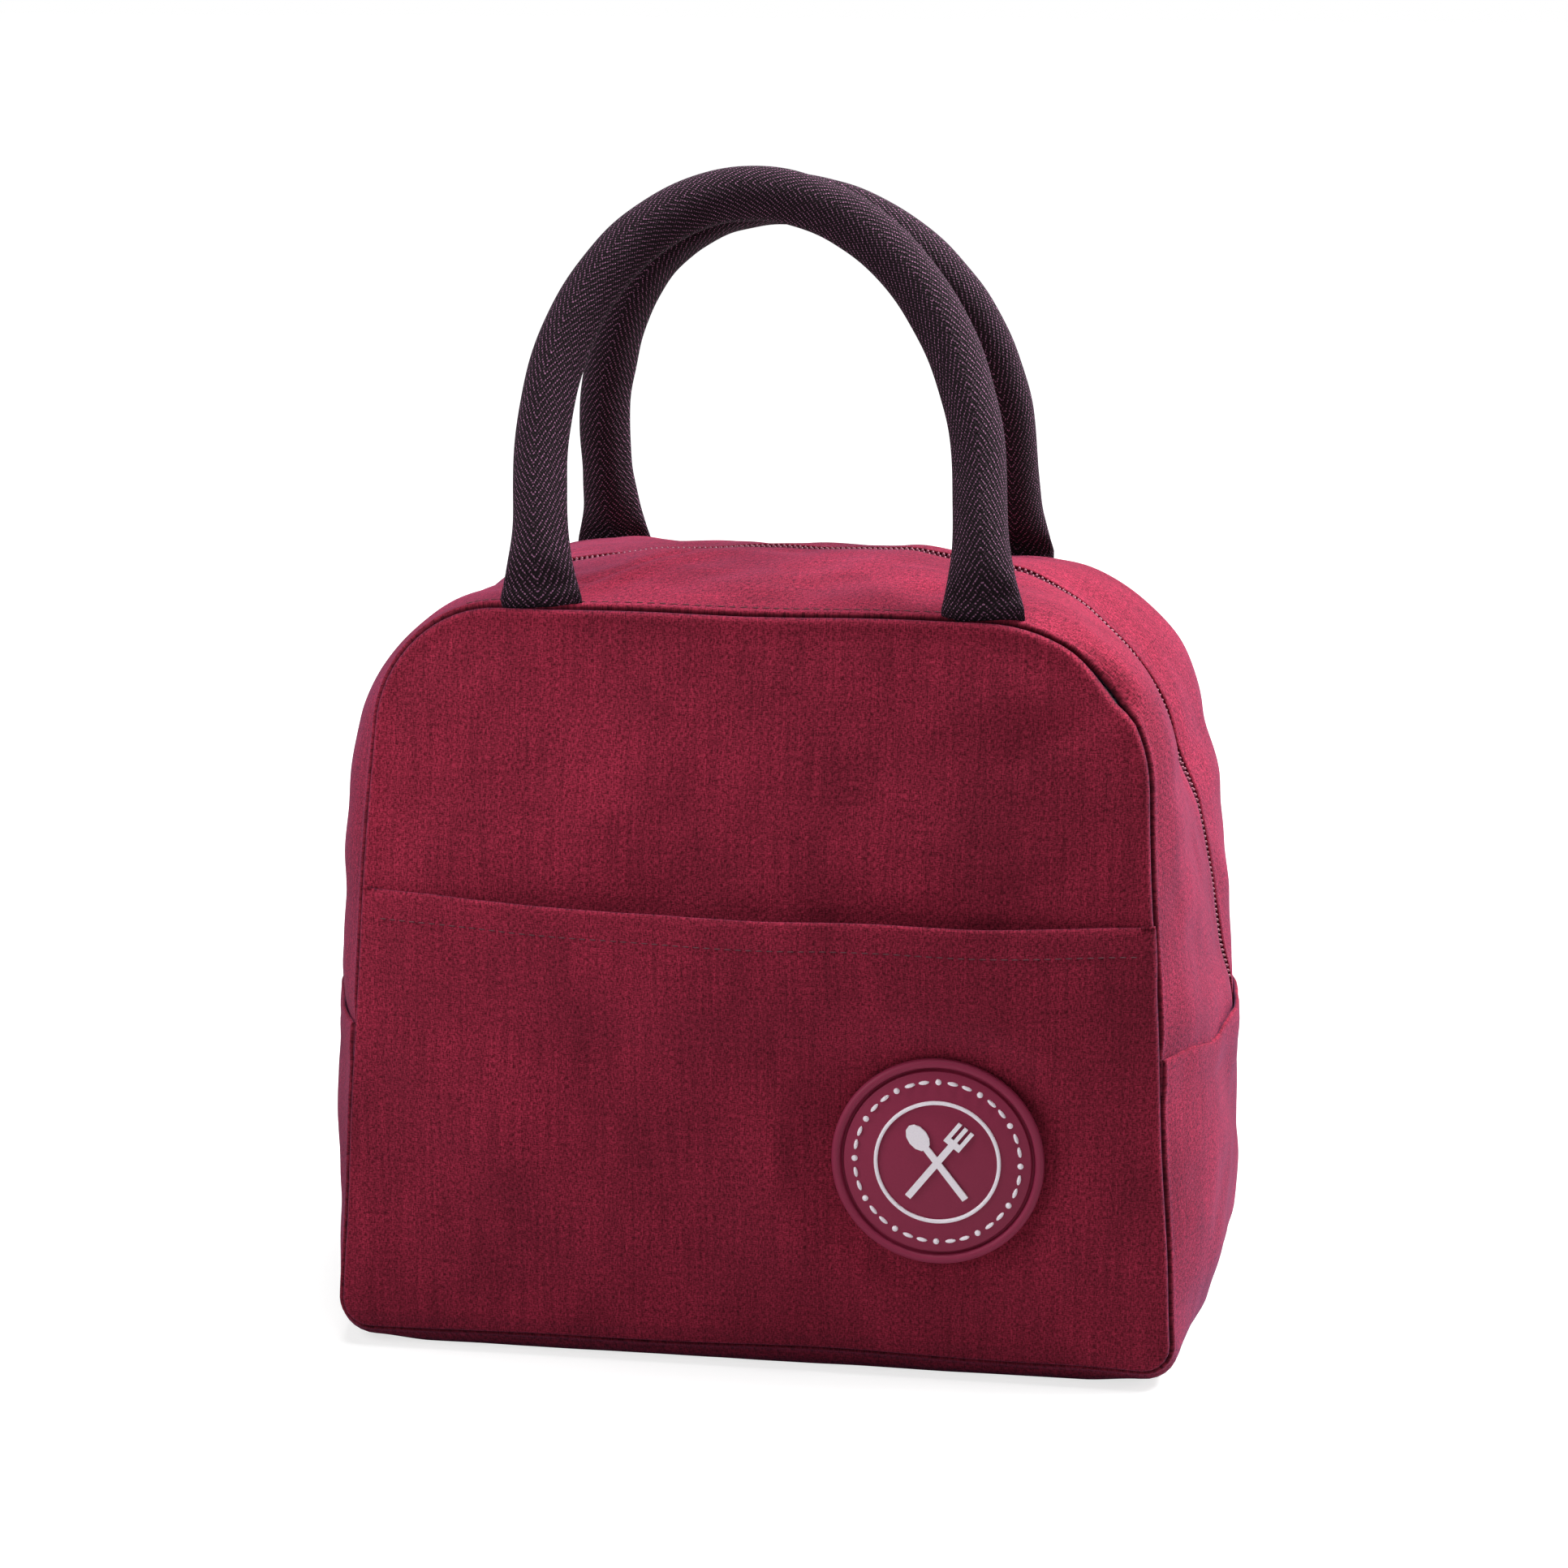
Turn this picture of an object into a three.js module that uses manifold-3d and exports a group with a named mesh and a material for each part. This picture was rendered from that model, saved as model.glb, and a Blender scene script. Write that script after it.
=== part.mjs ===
import * as THREE from "three";
import { mergeVertices } from "three/addons/utils/BufferGeometryUtils.js";
import Module from "manifold-3d";

// An insulated fabric lunch bag: a zipped top, a patch pocket with a round badge, and two webbing handles.
// Millimetres. X is the width, the front faces -Y, and Z is up.
// The origin is under the middle of the base, on the plane that the bag stands on.

const RIGHT_ANGLE = Math.PI / 2;
const radians = THREE.MathUtils.degToRad;
const mix = THREE.MathUtils.lerp;
const ease = (value, low, high) => THREE.MathUtils.smoothstep(value, low, high);

// Faces: the rounded front and back, measured at the seams that join them to the strip between them
const BASE_HALF_WIDTH = 116;
const SIDE_LEAN = radians(3.65);
const BASE_SEAM = 4;
const TOP_SEAM = 207.7;
const BASE_CORNER = 9;
// The bag is pulled a little askew: each top corner has its own radius, in front and behind
const LEFT_FRONT_CORNER = 35;
const LEFT_BACK_CORNER = 50;
const RIGHT_FRONT_CORNER = 46;
const RIGHT_BACK_CORNER = 42;
const BASE_DEPTH = 130;
const TOP_DEPTH = 105;
// The depth shrinks slowly above the fold and faster near the top
const DEPTH_CURVE = 1.4;
const FACE_CROWN = 2;

// The height at which each face folds outwards when the mouth is opened, and the zip's two ends
const FOLD = 95;
const ZIP_END = 92;

// The strip swells beyond the seams like a pillow: how far, at its middle line
const SIDE_SWELL = 14;
const SIDE_SWELL_LOW = 11.2;
const SHOULDER_SWELL = 7.9;
const CORNER_START_SWELL = 3.2;
const CORNER_SWELL = -0.4;
const CORNER_END_SWELL = 3.6;
const NEAR_TOP_SWELL = 8;
const TOP_SWELL = 9.4;
// The right half swells this much more near the corner, and the left half less
const ASKEW_SWELL = 0.9;
const BASE_CORNER_SWELL = 3.6;
// The bands also bulge between the seam and the zip by shares of this height
const BULGE = 5;
const SWELL_POWER = 2.2;
// The share of the half depth over which the base rounds down from its seams to the flat
const BASE_ROUNDING = 0.3;

// Layers, from the outside in, and the clearance between any two pieces
const CLOTH = 1;
const FOAM = 4;
const LINING = 0.6;
const FIT = 0.3;

// Pocket
const POCKET_TOP = 130;
const POCKET_BULGE = 7.5;
const POCKET_SAG = 3;
// Shares of the height above the fold between which the pocket swings out from the face
const POCKET_SWINGS_FROM = -0.2;
const POCKET_SWINGS_TO = 0.75;

// Badge: a soft moulded disc with a raised rim, a ring and crossed cutlery
const BADGE_X = 51;
const BADGE_Z = 63;
const BADGE_RADIUS = 28.5;
const BADGE_THICKNESS = 1.8;
const BADGE_RIM = 3;
const BADGE_RELIEF = 0.7;
const BADGE_RING_RADIUS = 17;
const BADGE_RING_WIDTH = 1;
const CUTLERY_LENGTH = 25;
const CUTLERY_HANDLE = 1.8;
const CUTLERY_ANGLE = radians(38);
const SPOON_LENGTH = 8;
const SPOON_WIDTH = 5.4;
const FORK_WIDTH = 5.2;
const FORK_TINES = 3;
const TINE_LENGTH = 5;
const TINE_WIDTH = 1.1;
const INLAY_GAP = 0.05;

// Zip: two tapes, two rows of meshing teeth and the straight run that the slider travels
const TAPE = 0.6;
const TAPE_SEAM = 15;
const TAPE_HIDDEN = 14;
const TAPE_EDGE = 2;
const BAND_EDGE = 4.2;
const LINING_EDGE = 4.5;
const TOOTH_PITCH = 6;
const TOOTH_REACH = 0.8;
const TOOTH_GAP = 0.5;
const TEETH_THICKNESS = 1.8;
const TEETH_START = 6;

// Slider and pull
const SLIDER_HALF_WIDTH = 3.6;
const SLIDER_LENGTH = 9;
const SLIDER_TAIL = 0.72;
const SLIDER_CORNER = 1;
const SLIDER_PLATE = 1;
const SLIDER_POST = 1.1;
const BRIDGE_LENGTH = 5.4;
const BRIDGE_HEIGHT = 3.9;
const BRIDGE_BAR = 1;
const BRIDGE_WIDTH = 1.6;
const PULL_LENGTH = 22;
const PULL_HALF_WIDTH = 3;
const PULL_THICKNESS = 1.2;
const PULL_SLOT_HALF = 1.3;
const PULL_SLOT_LENGTH = 3.8;

// Handles: webbing wrapped round a cord, flat where it is sewn into the top seams
const HANDLE_SPACING = 119;
const HANDLE_RADIUS = 6.8;
const FRONT_HANDLE_HEIGHT = 114;
const BACK_HANDLE_HEIGHT = 111.7;
const HANDLE_LEG = 35;
const HANDLE_FLAT_WIDTH = 21;
const HANDLE_FLAT_THICKNESS = 3;
// The webbing's sewn ends are flat, and it is round from the flare's height up
const HANDLE_FLARE = 50;
const HANDLE_LIFT = 2;
const HANDLE_MEETING_GAP = 0.6;
const WEBBING = 1.2;
// The cord inside starts this far up
const CORE_START = 36;
const FRONT_SWAY = 8;
const BACK_SWAY = 2.5;

// Seam binding inside the bag
const BINDING_WIDTH = 7;
const BINDING = 1.5;

// Depths of the layers below the outer surface
const FOAM_OUTER = CLOTH + FIT;
const FOAM_INNER = FOAM_OUTER + FOAM;
const LINING_OUTER = FOAM_INNER + FIT;
const LINING_INNER = LINING_OUTER + LINING;
const TAPE_OUTER = CLOTH + FIT;
const TAPE_INNER = TAPE_OUTER + TAPE;
// Foam and lining of a face stop inside the strip's own lining
const FACE_INSET = LINING_INNER + FIT;
const POCKET_INNER = -FIT;
const POCKET_OUTER = POCKET_INNER - CLOTH;

// How finely the curved pieces are divided
const BAND_STEPS = [3, 5, 4];
const GUSSET_STEPS = [4, 3, 2];
const FACE_COLUMNS = [-1, -0.6, 0, 0.6, 1];
const GUSSET_COLUMNS = [-1, -0.8, -0.5, 0, 0.5, 0.8, 1];
const BAND_COLUMNS = [0, 0.1, 0.28, 0.55, 1];
const FLARE_RINGS = [0, 0.14, 0.2, 0.28, 0.4, 0.6, 0.8];
const HANDLE_STEPS = 18;
const HANDLE_SIDES = 10;
const CORE_STEPS = 22;
const CORE_SIDES = 6;
const BADGE_SEGMENTS = 36;

const wasm = await Module();
wasm.setup();

// A closed body between two grids of points. A wrapped grid joins its last column to its first.
function body(rows, columns, faces, wraps = false) {
  const width = wraps ? columns : columns + 1;
  const position = [];
  for (const face of faces) {
    for (let i = 0; i <= rows; i++) {
      for (let j = 0; j < width; j++) position.push(...face(i, j));
    }
  }
  const at = (face, i, j) => (face * (rows + 1) + i) * width + (j % width);
  const index = [];
  const quad = (a, b, c, d) => index.push(a, b, c, a, c, d);
  for (let j = 0; j < columns; j++) {
    for (let i = 0; i < rows; i++) {
      quad(at(0, i, j), at(0, i + 1, j), at(0, i + 1, j + 1), at(0, i, j + 1));
      quad(at(1, i, j), at(1, i, j + 1), at(1, i + 1, j + 1), at(1, i + 1, j));
    }
    quad(at(0, 0, j), at(0, 0, j + 1), at(1, 0, j + 1), at(1, 0, j));
    quad(at(0, rows, j + 1), at(0, rows, j), at(1, rows, j), at(1, rows, j + 1));
  }
  for (let i = 0; i < rows && !wraps; i++) {
    quad(at(0, i + 1, 0), at(0, i, 0), at(1, i, 0), at(1, i + 1, 0));
    quad(at(0, i, columns), at(0, i + 1, columns), at(1, i + 1, columns), at(1, i, columns));
  }
  if (signedVolume(position, index) < 0) index.reverse();
  return new THREE.BufferGeometry()
    .setAttribute("position", new THREE.Float32BufferAttribute(position, 3))
    .setIndex(index);
}

function signedVolume(position, index) {
  const corner = (k) => new THREE.Vector3().fromArray(position, 3 * index[k]);
  let sum = 0;
  for (let k = 0; k < index.length; k += 3) {
    sum += corner(k).dot(corner(k + 1).cross(corner(k + 2))) / 6;
  }
  return sum;
}

// A smooth value through [place, value] keys, straight on its first stretch and never past a key
function along(keys, place) {
  const rise = (k) => (keys[k + 1][1] - keys[k][1]) / (keys[k + 1][0] - keys[k][0]);
  const slope = (k) => {
    if (k <= 1) return rise(0);
    if (k === keys.length - 1) return 0;
    const before = rise(k - 1);
    const after = rise(k);
    return before * after > 0 ? (2 * before * after) / (before + after) : 0;
  };
  let i = 0;
  while (i < keys.length - 2 && place > keys[i + 1][0]) i++;
  const span = keys[i + 1][0] - keys[i][0];
  const u = (place - keys[i][0]) / span;
  const weight = u * u * (3 - 2 * u);
  const bend = span * (slope(i) * u * (1 - u) ** 2 - slope(i + 1) * u * u * (1 - u));
  return mix(keys[i][1], keys[i + 1][1], weight) + bend;
}

// Face outline

// The top half turns up into the top corners and the base half down into the base corners. Each corner has
// a front and a back radius.
const UPPER = {
  seam: TOP_SEAM,
  left: [LEFT_FRONT_CORNER, LEFT_BACK_CORNER],
  right: [RIGHT_FRONT_CORNER, RIGHT_BACK_CORNER],
  turn: 1,
  start: ZIP_END + FIT,
};
const LOWER = {
  seam: BASE_SEAM,
  left: [BASE_CORNER, BASE_CORNER],
  right: [BASE_CORNER, BASE_CORNER],
  turn: -1,
  start: ZIP_END,
};
const SMALLEST_CORNER = 1.5;

const sideLine = (z) => BASE_HALF_WIDTH - Math.tan(SIDE_LEAN) * (z - BASE_SEAM);

// The hand is -1 on the left and 1 on the right, and back runs from 0 in front to 1 behind.
function corner(half, hand, back, inset = 0) {
  const [front, behind] = hand < 0 ? half.left : half.right;
  const radius = Math.max(mix(front, behind, back) - inset, SMALLEST_CORNER);
  const z = half.seam - half.turn * (inset + radius);
  const x = sideLine(z) - (inset + radius) / Math.cos(SIDE_LEAN);
  return { x, z, radius };
}

// A point of the outline and its outward normal, with x measured towards its own side. The place runs
// from 0 to 1 along the side, to 2 round the corner and to 3 at the middle of the top or the base.
function outline(half, hand, place, back, inset = 0) {
  const { x, z, radius } = corner(half, hand, back, inset);
  const turned = THREE.MathUtils.clamp(place - 1, 0, 1);
  const angle = mix(SIDE_LEAN, half.turn * RIGHT_ANGLE, turned);
  const point = {
    x: x + radius * Math.cos(angle),
    z: z + radius * Math.sin(angle),
    nx: Math.cos(angle),
    nz: Math.sin(angle),
  };
  if (place < 1) {
    point.z = mix(half.start, point.z, place);
    point.x = sideLine(point.z) - inset / Math.cos(SIDE_LEAN);
  }
  if (place > 2) point.x *= 3 - place;
  return point;
}

// Places from the left end of a half outline round to its right end
function stations(steps, leftStart = 0) {
  const right = [0];
  steps.forEach((count, section) => {
    for (let k = 1; k <= count; k++) right.push(section + k / count);
  });
  const left = right.map((place) => ({ hand: -1, place: Math.max(place, leftStart) }));
  return [...left, ...right.slice(0, -1).reverse().map((place) => ({ hand: 1, place }))];
}

// Distance of a face's seam from the middle plane
function faceDepth(z) {
  const share = THREE.MathUtils.clamp((z - FOLD) / (TOP_SEAM - FOLD), 0, 1);
  return (BASE_DEPTH - (BASE_DEPTH - TOP_DEPTH) * share ** DEPTH_CURVE) / 2;
}

function faceCrown(across, z) {
  const share = THREE.MathUtils.clamp((z - FOLD) / (TOP_SEAM - FOLD), 0, 1);
  return FACE_CROWN * (1 - across ** 4) * 4 * share * (1 - share);
}

// The left and right ends of a face's rows: one at the fold, and the rest at the strip's stations
function faceRows(half, side, inset) {
  const back = side < 0 ? 0 : 1;
  const ends = (start, place) =>
    [-1, 1].map((hand) => outline({ ...half, start }, hand, place, back, inset));
  const atFold = ends(FOLD + (half.turn * FIT) / 2, 0);
  const rest = stations(half === UPPER ? BAND_STEPS : GUSSET_STEPS)
    .filter(({ hand, place }) => hand < 0 && place > 0 && place <= 2)
    .map(({ place }) => ends(half.start, place));
  return [atFold, ...rest];
}

// One layer of a face between two depths. The side is -1 in front and 1 behind.
function faceLayer(half, side, inset, outer, inner) {
  const rows = faceRows(half, side, inset);
  const face = (depth) => (i, j) => {
    const [left, right] = rows[i];
    const across = FACE_COLUMNS[j];
    const share = (across + 1) / 2;
    const z = mix(left.z, right.z, share);
    const y = side * (faceDepth(z) + faceCrown(across, z) - depth);
    return [mix(-left.x, right.x, share), y, z];
  };
  return body(rows.length - 1, FACE_COLUMNS.length - 1, [face(outer), face(inner)]);
}

// How far the strip swells beyond the seam line at its middle, by the place on the outline
const LEFT_SWELLS = [
  [0, SIDE_SWELL],
  [0.74, SHOULDER_SWELL],
  [1, CORNER_START_SWELL],
  [1.5, CORNER_SWELL],
  [2, CORNER_END_SWELL - ASKEW_SWELL],
  [2.5, NEAR_TOP_SWELL - ASKEW_SWELL],
  [3, TOP_SWELL],
];
const RIGHT_SWELLS = [
  [0, SIDE_SWELL],
  [0.74, SHOULDER_SWELL + ASKEW_SWELL],
  [1, CORNER_START_SWELL],
  [1.5, CORNER_SWELL],
  [2, CORNER_END_SWELL + ASKEW_SWELL],
  [2.5, NEAR_TOP_SWELL + ASKEW_SWELL],
  [3, TOP_SWELL],
];
// Shares of the bulge in each quarter of the bands
const LEFT_FRONT_BULGES = [[0, 0], [0.5, 0.7], [1, 1], [1.5, 0.4], [2, 0], [3, 0]];
const LEFT_BACK_BULGES = [[0, 0], [0.5, 0], [1, 0.3], [2, 0.5], [2.5, 0.2], [3, -0.3]];
const RIGHT_FRONT_BULGES = [[0, 0], [0.5, 0], [1, 0.8], [1.5, 1], [2, 0.2], [3, 0]];
const RIGHT_BACK_BULGES = [[0, 0], [0.5, 0.9], [1, 1.3], [1.5, 1], [2, 0], [2.5, -0.3], [3, -0.3]];
const GUSSET_SWELLS = [
  [0, SIDE_SWELL],
  [0.55, mix(SIDE_SWELL_LOW, SIDE_SWELL, 0.8)],
  [0.8, SIDE_SWELL_LOW],
  [1, mix(BASE_CORNER_SWELL, SIDE_SWELL_LOW, 0.32)],
  [1.5, BASE_CORNER_SWELL],
  [2, 0.7 * BASE_SEAM],
  [2.15, BASE_SEAM],
  [3, BASE_SEAM],
];

// Across runs from 0 at a seam to 1 at the middle. The bulge is highest a third of the way from the seam
// and flattens out towards the zip.
const pillow = (across) => 1 - (1 - across) ** SWELL_POWER;
const bulgeShape = (across) => 6.75 * across * (1 - across) ** 2;

function bandSwell(hand, place, depthShare) {
  const across = 1 - Math.abs(depthShare);
  const swells = hand < 0 ? LEFT_SWELLS : RIGHT_SWELLS;
  const [front, back] =
    hand < 0 ? [LEFT_FRONT_BULGES, LEFT_BACK_BULGES] : [RIGHT_FRONT_BULGES, RIGHT_BACK_BULGES];
  const bulge = BULGE * along(depthShare < 0 ? front : back, place);
  return along(swells, place) * pillow(across) + bulge * bulgeShape(across);
}

function gussetSwell(hand, place, depthShare) {
  const across = 1 - Math.abs(depthShare);
  const rounding = 1 - (1 - Math.min(1, across / BASE_ROUNDING)) ** 2;
  const profile = mix(pillow(across), rounding, ease(place, 1, 2));
  return along(GUSSET_SWELLS, place) * profile;
}

// One layer of the strip. The columns turn the strip's half depth on the given side into a list of y
// values, and each face of the layer has a depth below the outer surface for every column.
function stripLayer(half, side, places, columns, outer, inner) {
  const swell = half === UPPER ? bandSwell : gussetSwell;
  const face = (depth) => (i, j) => {
    const { hand, place } = places[i];
    const halfDepth = faceDepth(outline(half, hand, place, side < 0 ? 0 : 1).z);
    const y = columns(halfDepth - CLOTH - FIT, i)[j];
    const depthShare = y / halfDepth;
    const { x, z, nx, nz } = outline(half, hand, place, (depthShare + 1) / 2);
    const out = swell(hand, place, depthShare) - (Array.isArray(depth) ? depth[j] : depth);
    return [hand * (x + nx * out), y, z + nz * out];
  };
  const width = columns(BASE_DEPTH / 2, 0).length - 1;
  return body(places.length - 1, width, [face(outer), face(inner)]);
}

const bandPlaces = stations(BAND_STEPS);
const gussetPlaces = stations(GUSSET_STEPS);

// Columns of a zip band from its face seam to where the tape is sewn, and on to the given distances
const bandColumns = (side, ...ends) => (edge) => [
  ...BAND_COLUMNS.map((share) => side * mix(edge, TAPE_SEAM, share)),
  ...ends.map((end) => side * end),
];
const gussetColumns = (edge) => GUSSET_COLUMNS.map((share) => share * edge);

const bandCloth = (side) =>
  stripLayer(UPPER, side, bandPlaces, bandColumns(side, BAND_EDGE), 0, CLOTH);

// The foam of a band stops at the seam that holds the zip tape
function bandFoam(side) {
  const columns = (edge) =>
    BAND_COLUMNS.map((share) => side * mix(edge, TAPE_SEAM + FIT, share));
  return stripLayer(UPPER, side, bandPlaces, columns, FOAM_OUTER, FOAM_INNER);
}

// The lining runs under the foam and rises to the underside of the tape
function bandLining(side) {
  const columns = bandColumns(side, TAPE_SEAM - 2 * FIT - LINING, LINING_EDGE);
  const rise = [TAPE_INNER + FIT, TAPE_INNER + FIT];
  const outer = [...BAND_COLUMNS.map(() => LINING_OUTER), ...rise];
  const inner = outer.map((depth) => depth + LINING);
  return stripLayer(UPPER, side, bandPlaces, columns, outer, inner);
}

function zipTape(side) {
  const columns = () => [side * TAPE_HIDDEN, side * TAPE_EDGE];
  return stripLayer(UPPER, side, bandPlaces, columns, TAPE_OUTER, TAPE_INNER);
}

// The two rows of teeth mesh along a zigzag with an even gap. The left end leaves room for the slider.
function zipTeeth(side) {
  const { z, x, radius } = corner(UPPER, -1, 0.5);
  const sideLength = (z - UPPER.start) / Math.cos(SIDE_LEAN);
  const lengths = [sideLength, radius * (RIGHT_ANGLE - SIDE_LEAN), x];
  const steps = lengths.map((length) => Math.max(1, Math.round((2 * length) / TOOTH_PITCH)));
  const places = stations(steps, TEETH_START / sideLength).filter(
    ({ place }, i, all) => i === 0 || place !== all[i - 1].place,
  );
  const root = TAPE_EDGE - FIT;
  const columns = (edge, i) => [
    side * root,
    (side * TOOTH_GAP) / 2 + (i % 2 ? -TOOTH_REACH : TOOTH_REACH),
  ];
  return stripLayer(UPPER, side, places, columns, TAPE_OUTER, TAPE_OUTER + TEETH_THICKNESS);
}

const gussetLayer = (outer, inner) =>
  stripLayer(LOWER, 1, gussetPlaces, gussetColumns, outer, inner);

// The tape that binds the raw edges inside a face seam, from the fold round to the fold
function binding(half, side) {
  const steps = half === UPPER ? BAND_STEPS : GUSSET_STEPS;
  const places = stations(steps);
  const startsAtFold = { ...half, start: FOLD + (half.turn * FIT) / 2 };
  const insets = [FACE_INSET + FIT, FACE_INSET + FIT + BINDING_WIDTH];
  const face = (depth) => (i, j) => {
    const { hand, place } = places[i];
    const { x, z } = outline(startsAtFold, hand, place, side < 0 ? 0 : 1, insets[j]);
    return [hand * x, side * (faceDepth(z) - depth), z];
  };
  const outer = LINING_INNER + FIT;
  return body(places.length - 1, 1, [face(outer), face(outer + BINDING)]);
}

// Above the fold the pocket stands away from the face, most at the middle of its sagging top edge.
function pocketUpper() {
  const low = FOLD + FIT / 2;
  const shares = [0, 0.35, 0.7, 1];
  const columns = [-1, -0.75, -0.4, 0, 0.4, 0.75, 1];
  const swing = (share) => ease(share, POCKET_SWINGS_FROM, POCKET_SWINGS_TO);
  const face = (depth) => (i, j) => {
    const across = columns[j];
    const top = POCKET_TOP - POCKET_SAG * (1 - across ** 2);
    const z = mix(low, top, shares[i]);
    const bulge = POCKET_BULGE * (1 - across ** 2) * (swing(shares[i]) - swing(0));
    const y = faceDepth(z) + faceCrown(across, z) - depth + bulge;
    return [across * sideLine(z), -y, z];
  };
  return body(shares.length - 1, columns.length - 1, [face(POCKET_OUTER), face(POCKET_INNER)]);
}

// Solids that are joined or cut

function solid(geometry) {
  const bare = geometry.clone();
  bare.deleteAttribute("normal");
  bare.deleteAttribute("uv");
  const merged = mergeVertices(bare, 1e-4);
  const triVerts = merged.index ? new Uint32Array(merged.index.array) : undefined;
  const vertProperties = new Float32Array(merged.attributes.position.array);
  return new wasm.Manifold(new wasm.Mesh({ numProp: 3, vertProperties, triVerts }));
}

function geometryOf(manifold) {
  const mesh = manifold.getMesh();
  return new THREE.BufferGeometry()
    .setAttribute("position", new THREE.BufferAttribute(mesh.vertProperties, 3))
    .setIndex(new THREE.BufferAttribute(mesh.triVerts, 1));
}

const join = (geometries) =>
  geometryOf(geometries.map(solid).reduce((sum, next) => sum.add(next)));

function box(x, y, z, cx = 0, cy = 0, cz = 0) {
  return new THREE.BoxGeometry(x, y, z).translate(cx, cy, cz);
}

const slab = (shape, depth, curveSegments = 6) =>
  new THREE.ExtrudeGeometry(shape, { depth, bevelEnabled: false, curveSegments });

// Badge, drawn flat with its face up

const BADGE_FACE = BADGE_THICKNESS;
const BADGE_TOP = BADGE_THICKNESS + BADGE_RELIEF;

function badgeBase() {
  const shoulder = BADGE_RIM / 3;
  const inner = BADGE_RADIUS - BADGE_RIM;
  const profile = [
    [0, 0],
    [BADGE_RADIUS, 0],
    [BADGE_RADIUS, BADGE_FACE],
    [BADGE_RADIUS - shoulder, BADGE_TOP],
    [inner + shoulder, BADGE_TOP],
    [inner, BADGE_FACE],
    [0, BADGE_FACE],
  ];
  const points = profile.map(([r, z]) => new THREE.Vector2(r, z));
  return new THREE.LatheGeometry(points, BADGE_SEGMENTS).rotateX(RIGHT_ANGLE);
}

function badgeRing() {
  const low = BADGE_FACE + INLAY_GAP;
  const inner = BADGE_RING_RADIUS - BADGE_RING_WIDTH;
  const profile = [
    [inner, low],
    [BADGE_RING_RADIUS, low],
    [BADGE_RING_RADIUS, BADGE_TOP],
    [inner, BADGE_TOP],
    [inner, low],
  ];
  const points = profile.map(([r, z]) => new THREE.Vector2(r, z));
  return new THREE.LatheGeometry(points, BADGE_SEGMENTS).rotateX(RIGHT_ANGLE);
}

// A spoon and a fork that cross at their middles
function badgeCutlery() {
  const height = BADGE_TOP - BADGE_FACE - INLAY_GAP;
  const half = CUTLERY_LENGTH / 2;
  const handle = (length) =>
    box(CUTLERY_HANDLE, length, height, 0, length / 2 - half, height / 2);
  const bowl = new THREE.Shape().absellipse(0, 0, SPOON_WIDTH / 2, SPOON_LENGTH / 2, 0, 2 * Math.PI);
  const spoonNeck = CUTLERY_LENGTH - SPOON_LENGTH + FIT;
  const spoon = join([
    handle(spoonNeck),
    slab(bowl, height).translate(0, half - SPOON_LENGTH / 2, 0),
  ]);
  const palm = CUTLERY_HANDLE;
  const tines = [];
  for (let k = 0; k < FORK_TINES; k++) {
    const x = mix(-1, 1, k / (FORK_TINES - 1)) * ((FORK_WIDTH - TINE_WIDTH) / 2);
    tines.push(box(TINE_WIDTH, TINE_LENGTH, height, x, half - TINE_LENGTH / 2, height / 2));
  }
  const palmY = half - TINE_LENGTH - palm / 2 + FIT;
  const fork = join([
    handle(CUTLERY_LENGTH - TINE_LENGTH - palm + 2 * FIT),
    box(FORK_WIDTH, palm, height, 0, palmY, height / 2),
    ...tines,
  ]);
  return join([spoon.rotateZ(CUTLERY_ANGLE), fork.rotateZ(-CUTLERY_ANGLE)]).translate(
    0,
    0,
    BADGE_FACE + INLAY_GAP,
  );
}

// Handles

const HANDLE_Z = TOP_SEAM + HANDLE_LIFT;
const HANDLE_Y = TOP_DEPTH / 2;
// The handles lean in until their tops all but meet
const handleLean = (height) =>
  Math.asin((HANDLE_Y - HANDLE_RADIUS - HANDLE_MEETING_GAP / 2) / height);

// The middle line of a handle in its own plane: two straight legs under half an ellipse
class HandleLine extends THREE.Curve {
  constructor(height, sway) {
    super();
    this.height = height;
    this.sway = sway;
  }

  getPoint(t, target = new THREE.Vector3()) {
    const halfSpan = HANDLE_SPACING / 2;
    const rise = this.height - HANDLE_LEG;
    const arch = (Math.PI * (halfSpan + rise)) / 2;
    const place = t * (arch + 2 * HANDLE_LEG);
    const angle = Math.PI * THREE.MathUtils.clamp((place - HANDLE_LEG) / arch, 0, 1);
    const fromEnd = Math.min(place, arch + 2 * HANDLE_LEG - place);
    const v = Math.min(fromEnd, HANDLE_LEG) + rise * Math.sin(angle);
    const lean = (-this.sway * v) / this.height;
    return target.set(-halfSpan * Math.cos(angle) + lean, v, 0);
  }
}

const evenly = (from, to, count) =>
  Array.from({ length: count + 1 }, (_, i) => mix(from, to, i / count));

// A frame along the middle line: the point, and the direction across it in the handle's plane
function handleFrame(line, t) {
  const tangent = line.getTangent(t);
  return { point: line.getPoint(t), across: new THREE.Vector3(-tangent.y, tangent.x, 0) };
}

// Shares of the handle's length at which the webbing has a ring, closer together over its flared ends
function webbingRings(length) {
  const flare = HANDLE_FLARE / length;
  const start = FLARE_RINGS.map((share) => share * flare);
  const end = start.map((share) => 1 - share).reverse();
  return [...start, ...evenly(flare, 1 - flare, HANDLE_STEPS), ...end];
}

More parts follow.
